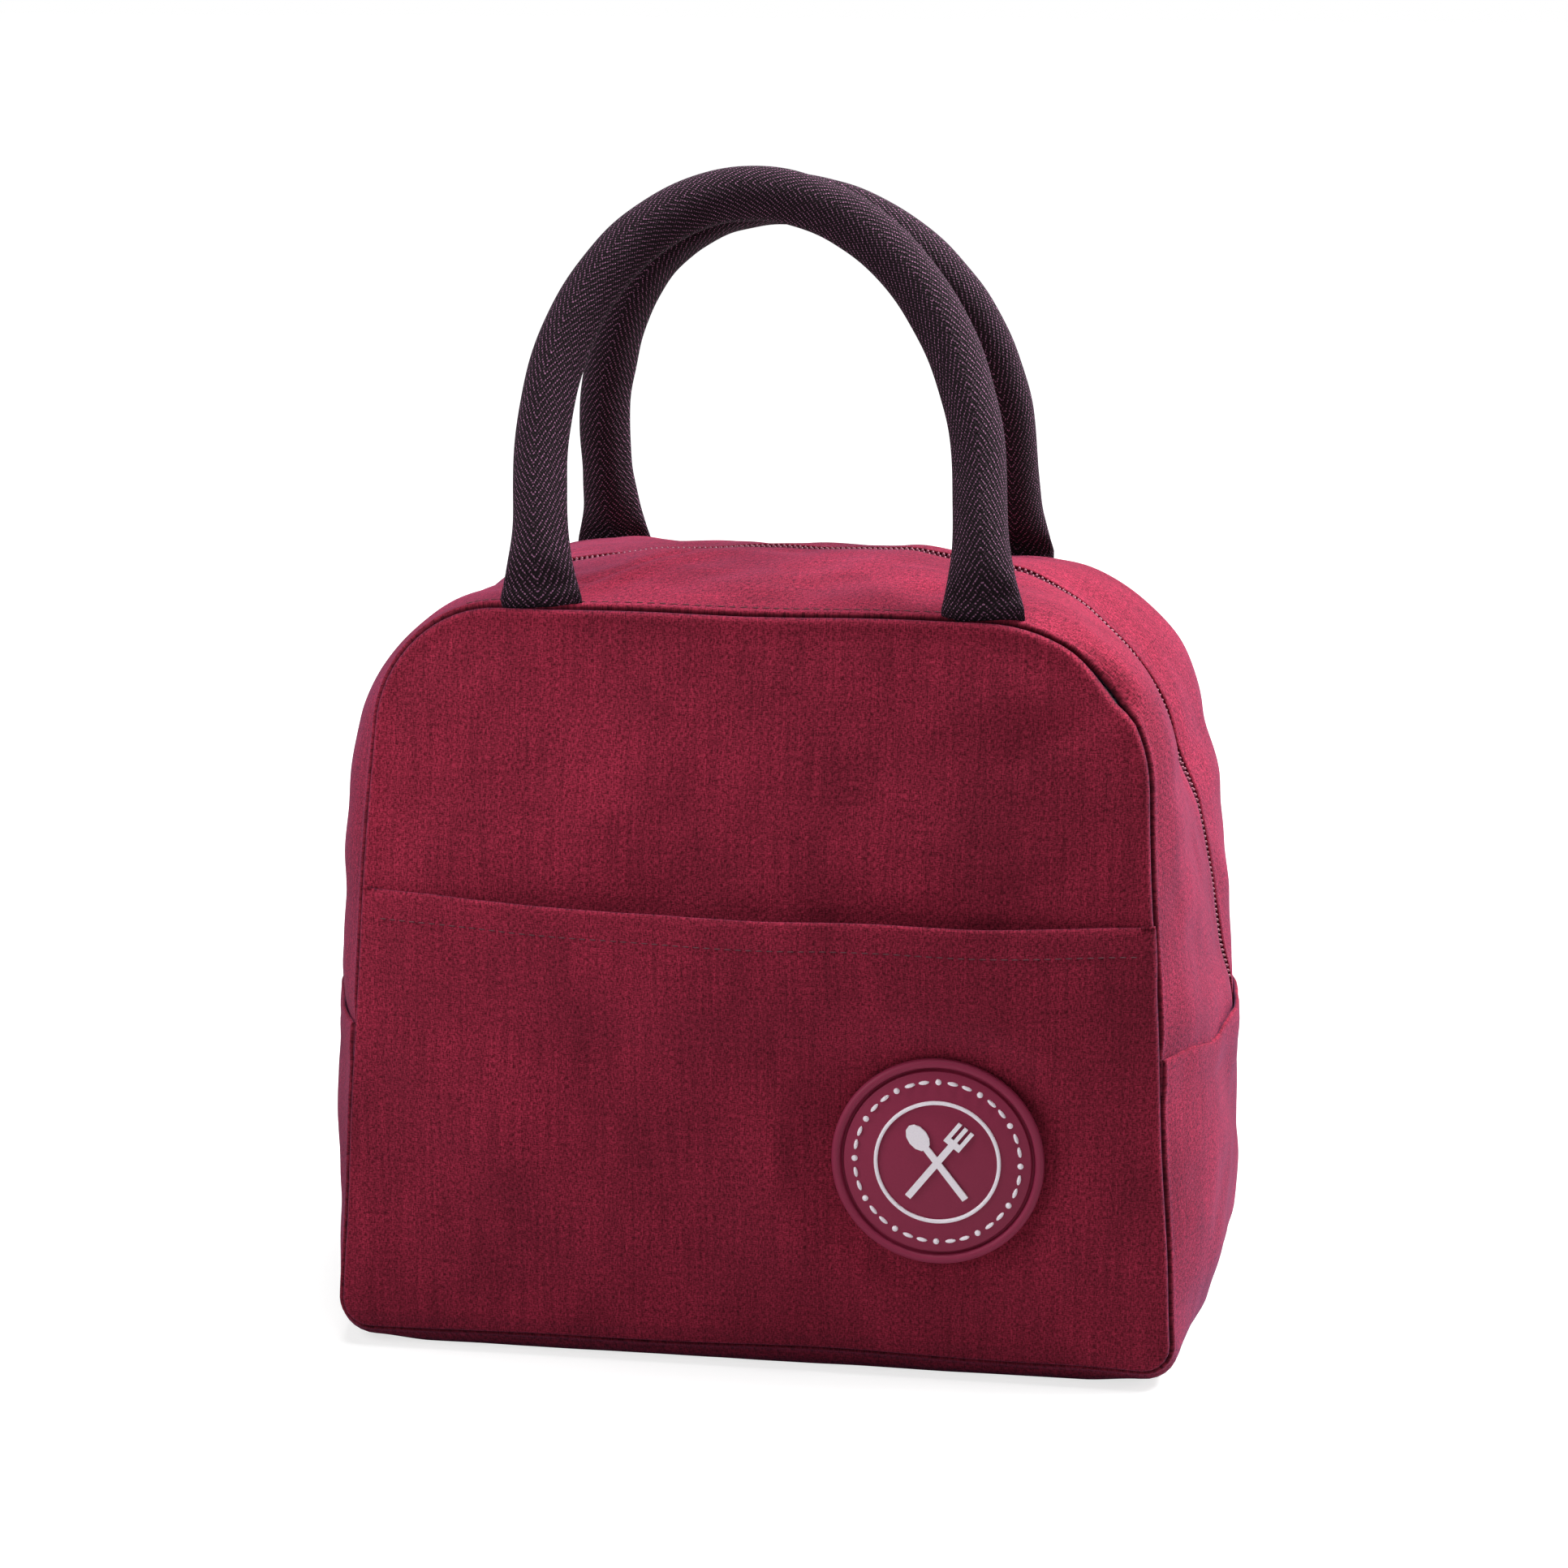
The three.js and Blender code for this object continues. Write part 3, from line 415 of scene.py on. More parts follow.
def gusset_swell(hand, place, share):
    across = 1 - np.clip(np.abs(share), 0, 1)
    rounding = 1 - (1 - np.clip(across / BASE_ROUNDING, 0, 1)) ** 2
    middle = along(GUSSET_SWELLS, place) + fuller(hand, place, 0.9, 1.4)
    return middle * mix(pillow(across), rounding, ease(place, 1, 2))


# Cloth


def ripple(x, y, wave, seed):
    """Smooth uneven waves of about one millimetre, of about that wavelength."""
    rng = np.random.default_rng(seed)
    total = np.zeros_like(x)
    for _ in range(9):
        angle = rng.uniform(0, math.pi)
        turns = 2 * math.pi / (wave * rng.uniform(0.7, 1.7))
        total += np.sin(turns * (x * math.cos(angle) + y * math.sin(angle)) + rng.uniform(0, 2 * math.pi))
    return total / 4


def valley(x, y, start, end, width):
    """1 along the straight fold from start to end, falling off to its sides and beyond its ends."""
    ax, ay = start
    dx, dy = end[0] - ax, end[1] - ay
    length = math.hypot(dx, dy)
    along_it = ((x - ax) * dx + (y - ay) * dy) / length
    off = ((y - ay) * dx - (x - ax) * dy) / length
    ends = ease(along_it, -width, 2 * width) * (1 - ease(along_it, length - 2 * width, length + width))
    return np.exp(-((off / width) ** 2)) * ends


def fold(waves, x, y, folds, middle=0):
    """Adds straight folds to the waves."""
    for (ax, ay), (bx, by), width, height in folds:
        waves = waves + height * valley(x, y, (ax, middle + ay), (bx, middle + by), width)
    return waves


def off_badge(x, z):
    """0 behind the badge and 1 away from it."""
    return ease(np.hypot(x - BADGE_CENTRE[0], z - BADGE_CENTRE[1]), *BADGE_CALM)


def settle(points, drape=0):
    """Adds the slow unevenness of the whole bag and a panel's own drape, the same for every layer. They
    leave out the base, the badge and the slider."""
    x, y, z = points.T
    slider = 1 - ease(-x, 100, 112) * (1 - ease(np.abs(y), 8, 20)) * (1 - ease(z, 140, 165))
    amount = ease(z, *BASE_CALM) * np.where(y < 0, off_badge(x, z), 1) * slider
    side = np.where(y < 0, 0, 500)
    planes = ((y + side, z), (x + side, z), (x + side, y))
    shift = [size * ripple(*planes[k], wave, 11 + k) for k, (size, wave) in enumerate(BAG_WAVES)]
    return points + (np.stack(shift, 1) + drape) * amount[:, None]


def sample(field, across, up):
    """The smooth value of a grid of displacements, at places from -1 to 1 across it and up it."""
    padded = np.pad(field, ((1, 2), (1, 2), (0, 0)), mode="edge")
    starts, weights = [], []
    for place, count in zip((up, across), np.array(field.shape[:2]) - 1):
        at = np.clip((place + 1) / 2, 0, 1) * count
        first = np.minimum(at.astype(int), count - 1)
        f = at - first
        starts.append(first)
        weights.append([(1 - f) ** 3, 3 * f**3 - 6 * f**2 + 4, -3 * f**3 + 3 * f**2 + 3 * f + 1, f**3])
    total = 0
    for a in range(4):
        for b in range(4):
            share = weights[0][a] * weights[1][b] / 36
            total = total + share[:, None] * padded[starts[0] + a, starts[1] + b]
    return total


def draped(points, panel, across, up):
    """Settles a panel's points, once its drape is simulated."""
    return settle(points, sample(DRAPES[panel], across, up)) if panel in DRAPES else points


def base_lift(x):
    """How far the base seam sits above its line, where the base bulges out below it."""
    inside = BASE_HALF_WIDTH - np.abs(x)
    return (0.9 + 0.5 * np.sin(x / 31 + 1) + 0.25 * np.sin(x / 13)) * ease(inside, 2, 30)


def corner_crease(place, hand, back):
    """How strongly the deep crease at the right front corner is drawn in, by the place on the outline."""
    run = ease(place, 1.28, 1.36) * (1 - ease(place, 1.42, 1.68))
    return np.where((hand > 0) & (np.asarray(back) < 0.5), run, 0)


def up_face(z, top=TOP_SEAM):
    """The place up a face, from -1 at the base seam to 1 at its top."""
    return 2 * (np.clip(z, BASE_SEAM, top) - BASE_SEAM) / (top - BASE_SEAM) - 1


def lay_face(side, sunk=0):
    """The place of a face's pattern point: x, z and the height above the face. The rim sinks by that much
    where the pocket lies over it."""
    back = max(side, 0)

    def place(x, z, height):
        nx, nz, inside = from_outline(x, z, back)
        hand = np.where(x < 0, -1, 1)
        waves = 0.45 * ripple(x, z, 40, 21 + side) + 0.12 * ripple(x, z, 13, 31 + side)
        waves = waves + 0.5 * ripple(x, z / 3, 34, 41 + side) * (1 - ease(z, 130, 200))
        if side < 0:
            waves = fold(waves, x, z, FRONT_FOLDS)
        ridge = RIDGE * np.exp(-(((inside - 2.8) / 2.2) ** 2)) * ease(z, 5, 20)
        under = sunk * (1 - ease(inside, 4, 8)) * (1 - ease(z, 120, 132))
        turned = np.arctan2(np.abs(nz), np.abs(nx))
        spot = 1 + (turned - SIDE_LEAN) / (RIGHT_ANGLE - SIDE_LEAN)
        drawn = corner_crease(spot, hand, back) * np.exp(-np.clip(inside - 2, 0, None) / 5)
        drawn = drawn * np.where(z > 150, 1, 0) * ease(height, -4.5, -1)
        lift = waves * ease(inside, 3, 22) + ridge - under - CREASE_SINK * drawn
        y = side * (face_depth(z) + face_crown(x, z, back) + lift + height)
        up = base_lift(x) * (1 - ease(z, 4, 34))
        placed = np.stack([x - nx * CREASE_IN * drawn, y, z - nz * CREASE_IN * drawn + up], 1)
        width = half_width(np.clip(z, BASE_SEAM, TOP_SEAM), hand, back)
        return draped(placed, side, x / width, up_face(z))

    return place


def lay_strip(half):
    """The place of a strip's pattern point: y, the run along the strip and the height above it."""
    swell = band_swell if half is UPPER else gusset_swell
    total = strip_length(half)

    def place(y, run, height):
        hand, spot, from_end = stations(half, run)
        back = np.where(y < 0, 0, 1)
        depth = face_depth(outline(half, hand, spot, back)[1])
        share = y / depth
        x, z, nx, nz = outline(half, hand, spot, np.clip((share + 1) / 2, 0, 1))
        from_seam = depth - np.abs(y)
        # The swell starts where the seam's bend ends
        rising = 1 - np.clip(from_seam - SEAM_REACH, 0, None) / (depth - SEAM_REACH)
        out = swell(hand, spot, rising * np.sign(share + 1e-9)) + height
        clear = ease(from_seam, 2, 16)
        waves = 0.4 * ripple(y, run, 36, 51 + half["turn"]) + 0.12 * ripple(y, run, 12, 53)
        if half is UPPER:
            clear = clear * (0.25 + 0.75 * ease(np.abs(y), 1, 9))
            crease = corner_crease(spot, hand, back) * ease(height, -4.5, -1)
            near_seam = np.exp(-(((from_seam - 5) / 5) ** 2))
            at_seam = crease * np.exp(-((from_seam / 3.2) ** 2))
            out = out + BAND_CREASE_RISE * crease * near_seam - BAND_CREASE_SINK * at_seam
            out = out - BAND_DIP * (1 - ease(from_end, -2, 9))
            y = y + BAND_CREASE_BACK * at_seam
            waves = fold(waves, y, run, BAND_FOLDS, total / 2)
        else:
            rise = HEM_RISE + np.where(hand > 0, 0.8 * ease(share, -0.2, 0.6), 0)
            out = out + rise * (1 - ease(from_end, 5, GUSSET_HEM + 3))
            waves = waves + 0.9 * ripple(y, run / 6, 15, 57) * (1 - ease(from_end, 4, 30))
            dip = np.where(hand > 0, 3.4 * np.exp(-(((y + 32) / 14) ** 2)), 0)
            z = z + (0.35 * ripple(y, y * 0, 26, 59) - dip) * clear * (1 - ease(from_end, 2, 20))
        out = out + waves * clear
        if half is LOWER:
            out = np.where(spot > 1.6, np.minimum(out, BASE_SEAM), out)
            z = z + np.where(spot > 1.2, base_lift(hand * x), 0) * (1 - ease(from_seam, 2.5, 7))
        placed = np.stack([hand * (x + nx * out), y, z + nz * out], 1)
        return draped(placed, 2 * half["turn"], share, 2 * run / total - 1)

    return place


# Drape


def simulate_drape(lay, flat, size, open_top=False):
    """How slightly loose cloth settles between its seams, as a grid of displacements in millimetres. The
    cloth is cut a little too large, held at its seams, and the foam behind it presses it outwards."""
    columns, rows = (round(s / DRAPE_STEP) for s in size)
    bm = bmesh.new()
    bmesh.ops.create_grid(bm, x_segments=columns, y_segments=rows, size=1)
    across, up = np.array([v.co for v in bm.verts]).T[:2]
    piece = piece_of(bm, "loose_cloth", CLOTH_FINISH)
    start = lay(*flat(across, up), 0)
    piece.data.vertices.foreach_set("co", (start * MM).ravel())
    face_out(piece)
    held = piece.vertex_groups.new(name="seams")
    to_edge = np.maximum(np.abs(across), -up if open_top else np.abs(up))
    at_seam = to_edge > 1 - DRAPE_HELD_ROWS / min(columns, rows)
    held.add([int(i) for i in np.nonzero(at_seam)[0]], 1, "REPLACE")
    settings = piece.modifiers.new("settling", "CLOTH").settings
    for key, value in DRAPE_SETTINGS.items():
        setattr(settings, key, value)
    settings.effector_weights.gravity = 0
    for frame_number in range(1, DRAPE_FRAMES + 1):
        bpy.context.scene.frame_set(frame_number)
    settled = piece.evaluated_get(bpy.context.evaluated_depsgraph_get()).data
    end = np.zeros(len(across) * 3)
    settled.vertices.foreach_get("co", end)
    moved = end.reshape(-1, 3) / MM - start
    length = np.linalg.norm(moved, axis=1)
    moved *= (DRAPE_LIMIT * np.tanh(length / DRAPE_LIMIT) / np.maximum(length, 1e-9))[:, None]
    bpy.data.objects.remove(piece)
    bpy.context.scene.frame_set(1)
    return moved.reshape(rows + 1, columns + 1, 3)


def flat_face(back, top=TOP_SEAM):
    """The pattern point of a face at places from -1 to 1, across it and up it."""

    def place(across, up):
        z = mix(BASE_SEAM, top, (up + 1) / 2)
        return across * side_width(across, z, back), z

    return place


def flat_strip(half):
    """The pattern point of a strip at places from -1 to 1, across it and along it."""

    def place(across, up):
        run = strip_length(half) * (up + 1) / 2
        return across * strip_depth(half, run, np.where(across < 0, 0, 1)), run

    return place


def simulate_drapes():
    found = {}
    for _, side in SIDES:
        size = (DRAPE_WIDTH, DRAPE_HEIGHT)
        found[side] = simulate_drape(lay_face(side), flat_face(max(side, 0)), size)
    for half in (UPPER, LOWER):
        size = (DRAPE_DEPTH, strip_length(half))
        found[2 * half["turn"]] = simulate_drape(lay_strip(half), flat_strip(half), size)
    DRAPES.update(found)
    size = (DRAPE_WIDTH, POCKET_TOP)
    loose = simulate_drape(lay_pocket, flat_face(0, POCKET_TOP), size, open_top=True)
    # The panel behind holds the pocket's cloth
    loose[..., 1] = np.minimum(loose[..., 1], POCKET_DRAPE_OUT)
    DRAPES[0] = loose


# Making pieces


def piece_of(bm, name, material, smooth=True):
    mesh = bpy.data.meshes.new(name)
    bm.to_mesh(mesh)
    bm.free()
    mesh.materials.append(material)
    if smooth:
        mesh.shade_smooth()
    piece = bpy.data.objects.new(name, mesh)
    bpy.context.scene.collection.objects.link(piece)
    return piece


def finish(bm, name, lay, thickness, material):
    """Lays a flat pattern on the form and gives it its thickness. The pattern stays as the UV map."""
    bmesh.ops.triangulate(bm, faces=[f for f in bm.faces if len(f.verts) > 4])
    piece = piece_of(bm, name, material)
    mesh = piece.data
    flat = np.zeros(len(mesh.vertices) * 3)
    mesh.vertices.foreach_get("co", flat)
    flat = flat.reshape(-1, 3)
    corners = np.zeros(len(mesh.loops), int)
    mesh.loops.foreach_get("vertex_index", corners)
    uv = mesh.uv_layers.new(name="pattern")
    uv.data.foreach_set("uv", (flat[corners, :2] * MM).ravel())
    # The pattern's height is kept for the cloth's painted shade where it turns in at seams, the zip's edge
    # and hems
    mesh.attributes.new("height", "FLOAT", "POINT").data.foreach_set("value", flat[:, 2].copy())
    mesh.vertices.foreach_set("co", (lay(*flat.T) * MM).ravel())
    mesh.update()
    if thickness:
        wall = piece.modifiers.new("thickness", "SOLIDIFY")
        wall.thickness = thickness * MM
        wall.offset = -1
    return piece


def face_out(piece):
    """Turns an open sheet so that its faces look away from the middle of the bag."""
    middle = Vector((0, 0, 100)) * MM
    if sum(p.area * p.normal.dot(p.center - middle) for p in piece.data.polygons) < 0:
        piece.data.flip_normals()
    return piece


def seam_profile():
    """How a cloth turns in at a seam: (distance inside the seam line, height), from the flat outwards."""
    turns = [SEAM_TURN * k / SEAM_STEPS for k in range(SEAM_STEPS + 1)]
    bend = [(SEAM_REACH - SEAM_RADIUS * math.sin(a), SEAM_RADIUS * (math.cos(a) - 1)) for a in turns]
    inset, height = bend[-1]
    down = [SEAM_ALLOWANCE / 2, SEAM_ALLOWANCE]
    run_on = [(inset - math.cos(SEAM_TURN) * d, height - math.sin(SEAM_TURN) * d) for d in down]
    return [(3.6, 0)] + bend + run_on


def add_grid(bm, columns, rows):
    """A new grid's points, and their places from 0 to 1 across it and up it."""
    verts = bmesh.ops.create_grid(bm, x_segments=columns, y_segments=rows, size=1)["verts"]
    across, up, _ = np.array([v.co for v in verts]).T
    return verts, (across + 1) / 2, (up + 1) / 2


def move(verts, *places):
    """Moves points to the places given as one row for each coordinate."""
    for vert, co in zip(verts, zip(*np.broadcast_arrays(*places))):
        vert.co = co


def extrude_edges(bm, edges):
    """Extrudes an open edge and returns the new vertices and the new open edge."""
    out = bmesh.ops.extrude_edge_only(bm, edges=edges)["geom"]
    verts = [g for g in out if isinstance(g, bmesh.types.BMVert)]
    made = set(verts)
    return verts, [g for g in out if isinstance(g, bmesh.types.BMEdge) and made.issuperset(g.verts)]


def face_rows(inset, low, high):
    """Heights of a face's rows: even up the sides and closer round the corners."""
    heights = [low, high]
    for half, steps in ((UPPER, (39, 20)), (LOWER, (45, 6))):
        places = np.concatenate([np.linspace(0, 1, steps[0]), np.linspace(1, 2, steps[1])[1:]])
        heights += list(outline(half, 1, places, 0, inset)[1])
    heights = sorted(h for h in heights if low <= h <= high)
    rows = [heights[0]]
    for h in heights[1:]:
        if h - rows[-1] > 0.12:
            rows.append(h)
    rows[-1] = high
    return np.array(rows)


def face_pattern(side, inset, low, high, rim, open_top=False, step=MESH_STEP):
    """The flat pattern of a face as a bmesh of (x, z, height), with rings of (inset, height) round it."""
    back = max(side, 0)
    rows = face_rows(inset, low, high)
    bm = bmesh.new()
    verts, across, up = add_grid(bm, round(2 * BASE_HALF_WIDTH / step), len(rows) - 1)
    z = rows[np.rint(up * (len(rows) - 1)).astype(int)]
    move(verts, mix(-half_width(z, -1, back, inset), half_width(z, 1, back, inset), across), z, 0)
    edges = [e for e in bm.edges if e.is_boundary]
    if open_top:
        edges = [e for e in edges if min(v.co.y for v in e.verts) < high - 1e-3]
    last = inset
    for ring_inset, height in rim:
        verts, edges = extrude_edges(bm, edges)
        x, z, _ = np.array([v.co for v in verts]).T
        nx, nz, _ = from_outline(x, z, back)
        if open_top:
            nz = np.where(z > high - 1e-3, 0, nz)
        out = last - ring_inset
        move(verts, x + nx * out, z + nz * out, height)
        last = ring_inset
    return bm


def strip_pattern(half, side, columns, start, end, step=MESH_STEP):
    """The flat pattern of a strip as a bmesh of (y, run, height). Each column is (share of the half depth,
    offset, height), and side is the side whose outline it follows."""
    bm = bmesh.new()
    verts, across, up = add_grid(bm, len(columns) - 1, round((end - start) / step))
    shares, offsets, heights = np.array(columns, float)[np.rint(across * (len(columns) - 1)).astype(int)].T
    run = mix(start, end, up)
    move(verts, shares * strip_depth(half, run, max(side, 0)) + offsets, run, heights)
    return bm


# Finishes


def node(tree, kind, inputs=(), **settings):
    """Adds a shader node with its settings, and sets or links its inputs."""
    made = tree.nodes.new(kind)
    for key, value in settings.items():
        setattr(made, key, value)
    for key, value in dict(inputs).items():
        if isinstance(value, bpy.types.NodeSocket):
            tree.links.new(value, made.inputs[key])
        else:
            made.inputs[key].default_value = value
    return made


def linear(hex_colour):
    """The linear colour of an sRGB hex value."""
    parts = [int(hex_colour[i : i + 2], 16) / 255 for i in (1, 3, 5)]
    return (*[c / 12.92 if c <= 0.04045 else ((c + 0.055) / 1.055) ** 2.4 for c in parts], 1)


def surface(name, **sockets):
    """A new material and its tree and shader, with the given values on the shader's own sockets."""
    material = bpy.data.materials.new(name)
    material.use_nodes = True
    shader = material.node_tree.nodes["Principled BSDF"]
    for key, value in sockets.items():
        shader.inputs[key.replace("_", " ")].default_value = value
    return material, material.node_tree, shader


def speckle(tree, place, size_x, size_y, detail=2.0):
    """Noise on a pattern, with that size in millimetres along it and up it."""
    scale = (1 / (size_x * MM), 1 / (size_y * MM), 1)
    scaled = node(tree, "ShaderNodeMapping", {"Vector": place, "Scale": scale})
    made = node(tree, "ShaderNodeTexNoise", {"Vector": scaled.outputs[0], "Scale": 1, "Detail": detail})
    return made.outputs["Fac"]


def spread(tree, value, low, high, from_low=0.3, from_high=0.7):
    """A value brought from one range to another, and held within it."""
    limits = {"Value": value, "From Min": from_low, "From Max": from_high, "To Min": low, "To Max": high}
    return node(tree, "ShaderNodeMapRange", limits).outputs[0]


def maths(tree, operation, *values):
    return node(tree, "ShaderNodeMath", dict(enumerate(values)), operation=operation).outputs[0]


def tinted(tree, colour, factor):
    """A colour multiplied by a value."""
    inputs = {0: 1, 6: colour, 7: factor}
    return node(tree, "ShaderNodeMix", inputs, data_type="RGBA", blend_type="MULTIPLY").outputs[2]


def ramp(tree, value, *stops):
    """A colour for each value, from (value, colour) stops: the lowest, the highest and those between."""
    made = node(tree, "ShaderNodeValToRGB", {"Fac": value})
    elements = made.color_ramp.elements
    for k, (place, colour) in enumerate(stops):
        stop = elements[k] if k < 2 else elements.new(place)
        stop.position = place
        stop.color = linear(colour)
    return made.outputs["Color"]


def dress(tree, shader, colour, relief, depth, strength):
    """Gives a shader its colour and its relief, whose depth is in millimetres."""
    tree.links.new(colour, shader.inputs["Base Color"])
    bump = node(tree, "ShaderNodeBump", {"Height": relief, "Distance": depth * MM, "Strength": strength})
    tree.links.new(bump.outputs["Normal"], shader.inputs["Normal"])


def woven_polyester():
    """Polyester cloth, plain woven from two-tone yarn: matt, with fine dark and light flecks, upright
    slubs, fainter cross threads, a lilac bloom of loose fibre at a grazing angle, and painted shade where it
    turns in at a seam, at the zip's edge and round the hems."""
    material, tree, shader = surface(
        "polyester_melange_woven", Roughness=0.9, Specular_IOR_Level=0.1, Sheen_Weight=0.11,
        Sheen_Roughness=0.5, Sheen_Tint=linear("#d0b4ff"),
    )
    pattern = node(tree, "ShaderNodeUVMap", uv_map="pattern").outputs["UV"]
    warp = speckle(tree, pattern, 0.34, 1.3, 3)
    weft = speckle(tree, pattern, 0.8, 0.34, 3)
    fleck = maths(tree, "MULTIPLY_ADD", weft, 0.5, maths(tree, "MULTIPLY", warp, 0.5))
    tone = ramp(tree, fleck, (0.4, "#560d1b"), (0.6, "#a62c45"))
    slub = spread(tree, speckle(tree, pattern, 1, 26), 0.76, 1.13)
    cross = spread(tree, speckle(tree, pattern, 18, 0.9), 0.87, 1.05)
    cloud = spread(tree, speckle(tree, pattern, 26, 44), 0.8, 1.12)
    # Painted shade: the cloth is darkened by its pattern height where it turns in at a seam, at the zip's
    # edge and round the hems
    height = node(tree, "ShaderNodeAttribute", attribute_name="height").outputs["Fac"]
    painted_seam_shade = spread(tree, height, 0.45, 1, -1.1, -0.1)
    shade = maths(tree, "MULTIPLY", slub, cross)
    shade = maths(tree, "MULTIPLY", shade, maths(tree, "MULTIPLY", cloud, painted_seam_shade))
    twill = node(tree, "ShaderNodeMapping", {"Vector": pattern, "Rotation": (0, 0, 0.95)}).outputs[0]
    wave = {"Vector": twill, "Scale": 0.16 / (0.9 * MM), "Distortion": 1.4, "Detail": 2, "Detail Scale": 1}
    ribs = node(tree, "ShaderNodeTexWave", wave).outputs["Fac"]
    relief = maths(tree, "MULTIPLY_ADD", ribs, 0.2, fleck)
    dress(tree, shader, tinted(tree, tone, shade), relief, 0.24, 0.8)
    return material


def herringbone_webbing():
    """Polyester webbing in a herringbone weave: near-black plum, with ribs that turn back every few
    millimetres and lilac flecks where the weft shows."""
    material, tree, shader = surface(
        "polyester_webbing_herringbone", Roughness=0.75, Specular_IOR_Level=0.12, Sheen_Weight=0.02,
        Sheen_Tint=linear("#b9a0d0"),
    )
    pattern = node(tree, "ShaderNodeUVMap", uv_map="pattern").outputs["UV"]
    split = node(tree, "ShaderNodeSeparateXYZ", {0: pattern})
    folded = maths(tree, "PINGPONG", split.outputs["X"], WEBBING_WIDTH / 4 * MM)
    slanted = maths(tree, "MULTIPLY_ADD", folded, 2.1, split.outputs["Y"])

    def rows(value, pitch):
        return maths(tree, "SINE", maths(tree, "MULTIPLY", value, 2 * math.pi / (pitch * MM)))

    ribs = rows(slanted, 2.8)
    # Each thread shows as a row of short floats along its rib
    floats = maths(tree, "MULTIPLY", rows(folded, 0.9), rows(split.outputs["Y"], 1.1))
    fibre = speckle(tree, pattern, 0.45, 0.6, 3)
    weave = maths(tree, "MULTIPLY_ADD", floats, 0.95, maths(tree, "MULTIPLY", ribs, 0.7))
    both = maths(tree, "MULTIPLY_ADD", fibre, 3, weave)
    tone = ramp(tree, spread(tree, both, 0, 1, 0.4, 3.1), (0, "#0c0408"), (1, "#a26d90"), (0.62, "#190a11"))
    dress(tree, shader, tone, both, 0.16, 0.9)
    return material


def plain(name, colour, roughness, metallic=0.0, grain=0.5, grit=0.05, specular=0.5):
    """A plain surface with the fine unevenness of its making: grain and grit are in millimetres."""
    values = {"Roughness": roughness, "Metallic": metallic, "Specular_IOR_Level": specular}
    material, tree, shader = surface(name, **values)
    place = node(tree, "ShaderNodeTexCoord").outputs["Object"]
    noise = {"Vector": place, "Scale": 1 / (grain * MM), "Detail": 3}
    speck = node(tree, "ShaderNodeTexNoise", noise).outputs["Fac"]
    tone = tinted(tree, linear(colour), spread(tree, speck, 0.88, 1.1, 0, 1))
    dress(tree, shader, tone, speck, grit, 0.6)
    return material


CLOTH_FINISH = woven_polyester()
WEBBING_FINISH = herringbone_webbing()
TAPE_FINISH = plain("polyester_zip_tape_knitted", "#360816", 0.85, grain=0.8, grit=0.1)
COIL_FINISH = plain("nylon_coil_extruded", "#74193a", 0.42)
METAL_FINISH = plain("zinc_alloy_cast_painted", "#7c1c38", 0.35, metallic=0.2)
THREAD_FINISH = plain("polyester_thread_twisted", "#4c0f20", 0.7, grain=0.3)
RUBBER_FINISH = plain("pvc_soft_moulded_wine", "#8e2b49", 0.5, grain=0.3, grit=0.02, specular=0.2)
WHITE_FINISH = plain("pvc_soft_moulded_white", "#fff6ff", 0.5, grain=0.3, grit=0.02)
FOAM_FINISH = plain("pe_foam_cut", "#e9e9ec", 0.95, grain=0.6, grit=0.2)
LINING_FINISH = plain("aluminised_film_embossed", "#c9ccd1", 0.3, metallic=0.9, grain=2, grit=0.3)
BINDING_FINISH = plain("polyester_binding_woven", "#6b1a30", 0.85, grain=0.8, grit=0.1)
CORD_FINISH = plain("cotton_cord_twisted", "#d9d2c8", 0.95, grain=0.8, grit=0.15)


# Pieces


def rides(piece, leaf, *nodes, slot, body="tub"):
    """The piece takes the place of those nodes, which are hidden. With a leaf its place is baked into its
    points, and without one it is hung on its body.
    """
    if leaf:
        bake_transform(piece)
    else:
        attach(piece, body)
    if nodes:
        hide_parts(*nodes)
    return piece


LAYERS = (
    ("foam", FOAM_INSET, FOAM_DEPTH, FOAM, FOAM_FINISH, "foam"),
    ("lining", LINING_INSET, LINING_DEPTH, LINING, LINING_FINISH, "foil_lining"),
)


def add_sheet(bm, name, lay, leaf, *nodes, wall=CLOTH, material=CLOTH_FINISH, slot="polyester_cloth"):
    """Lays a pattern with its faces outwards. It is outer cloth unless the call says otherwise."""
    return rides(face_out(finish(bm, name, lay, wall, material)), leaf, *nodes, slot=slot)


def add_layers(pattern, lay, leaf, name, *nodes):
    """The foam and the lining behind a cloth. The pattern is made for an inset and a depth, and a star in a
    name stands for the layer's own."""
    for layer, inset, depth, wall, material, slot in LAYERS:
        own, *stands_for = [n.replace("*", layer) for n in (name, *nodes)]
        bm = pattern(inset, depth)
        piece = add_sheet(bm, own, lay, leaf, *stands_for, wall=wall, material=material, slot=slot)


def make_faces():
    for name, side in SIDES:
        leaf = f"{name}_leaf"
        bm = face_pattern(side, RIM, BASE_SEAM + RIM, TOP_SEAM - RIM, seam_profile())
        sunk = 1 if side < 0 else 0
        nodes = f"{name}_panel_lower", f"{name}_panel_upper"
        add_sheet(bm, f"{name}_panel_cloth", lay_face(side, sunk), leaf, *nodes)

        def pattern(inset, depth, side=side):
            bm = face_pattern(side, inset, BASE_SEAM + inset, TOP_SEAM - inset, [], step=LAYER_STEP)
            for vert in bm.verts:
                vert.co.z = -depth
            return bm

        nodes = f"{name}_*_lower", f"{name}_*_upper"
        add_layers(pattern, lay_face(side), leaf, f"{name}_panel_*", *nodes)


def turned_edge():
    """The columns of a strip's turned-in edge."""
    return [(1, -inset, height) for inset, height in seam_profile()[::-1]]


def past_slider(run):
    """0 where the closed zip's slider stands and runs, and 1 past it."""
    return ease(run, SLIDER_RUN - 12, SLIDER_RUN + 6)


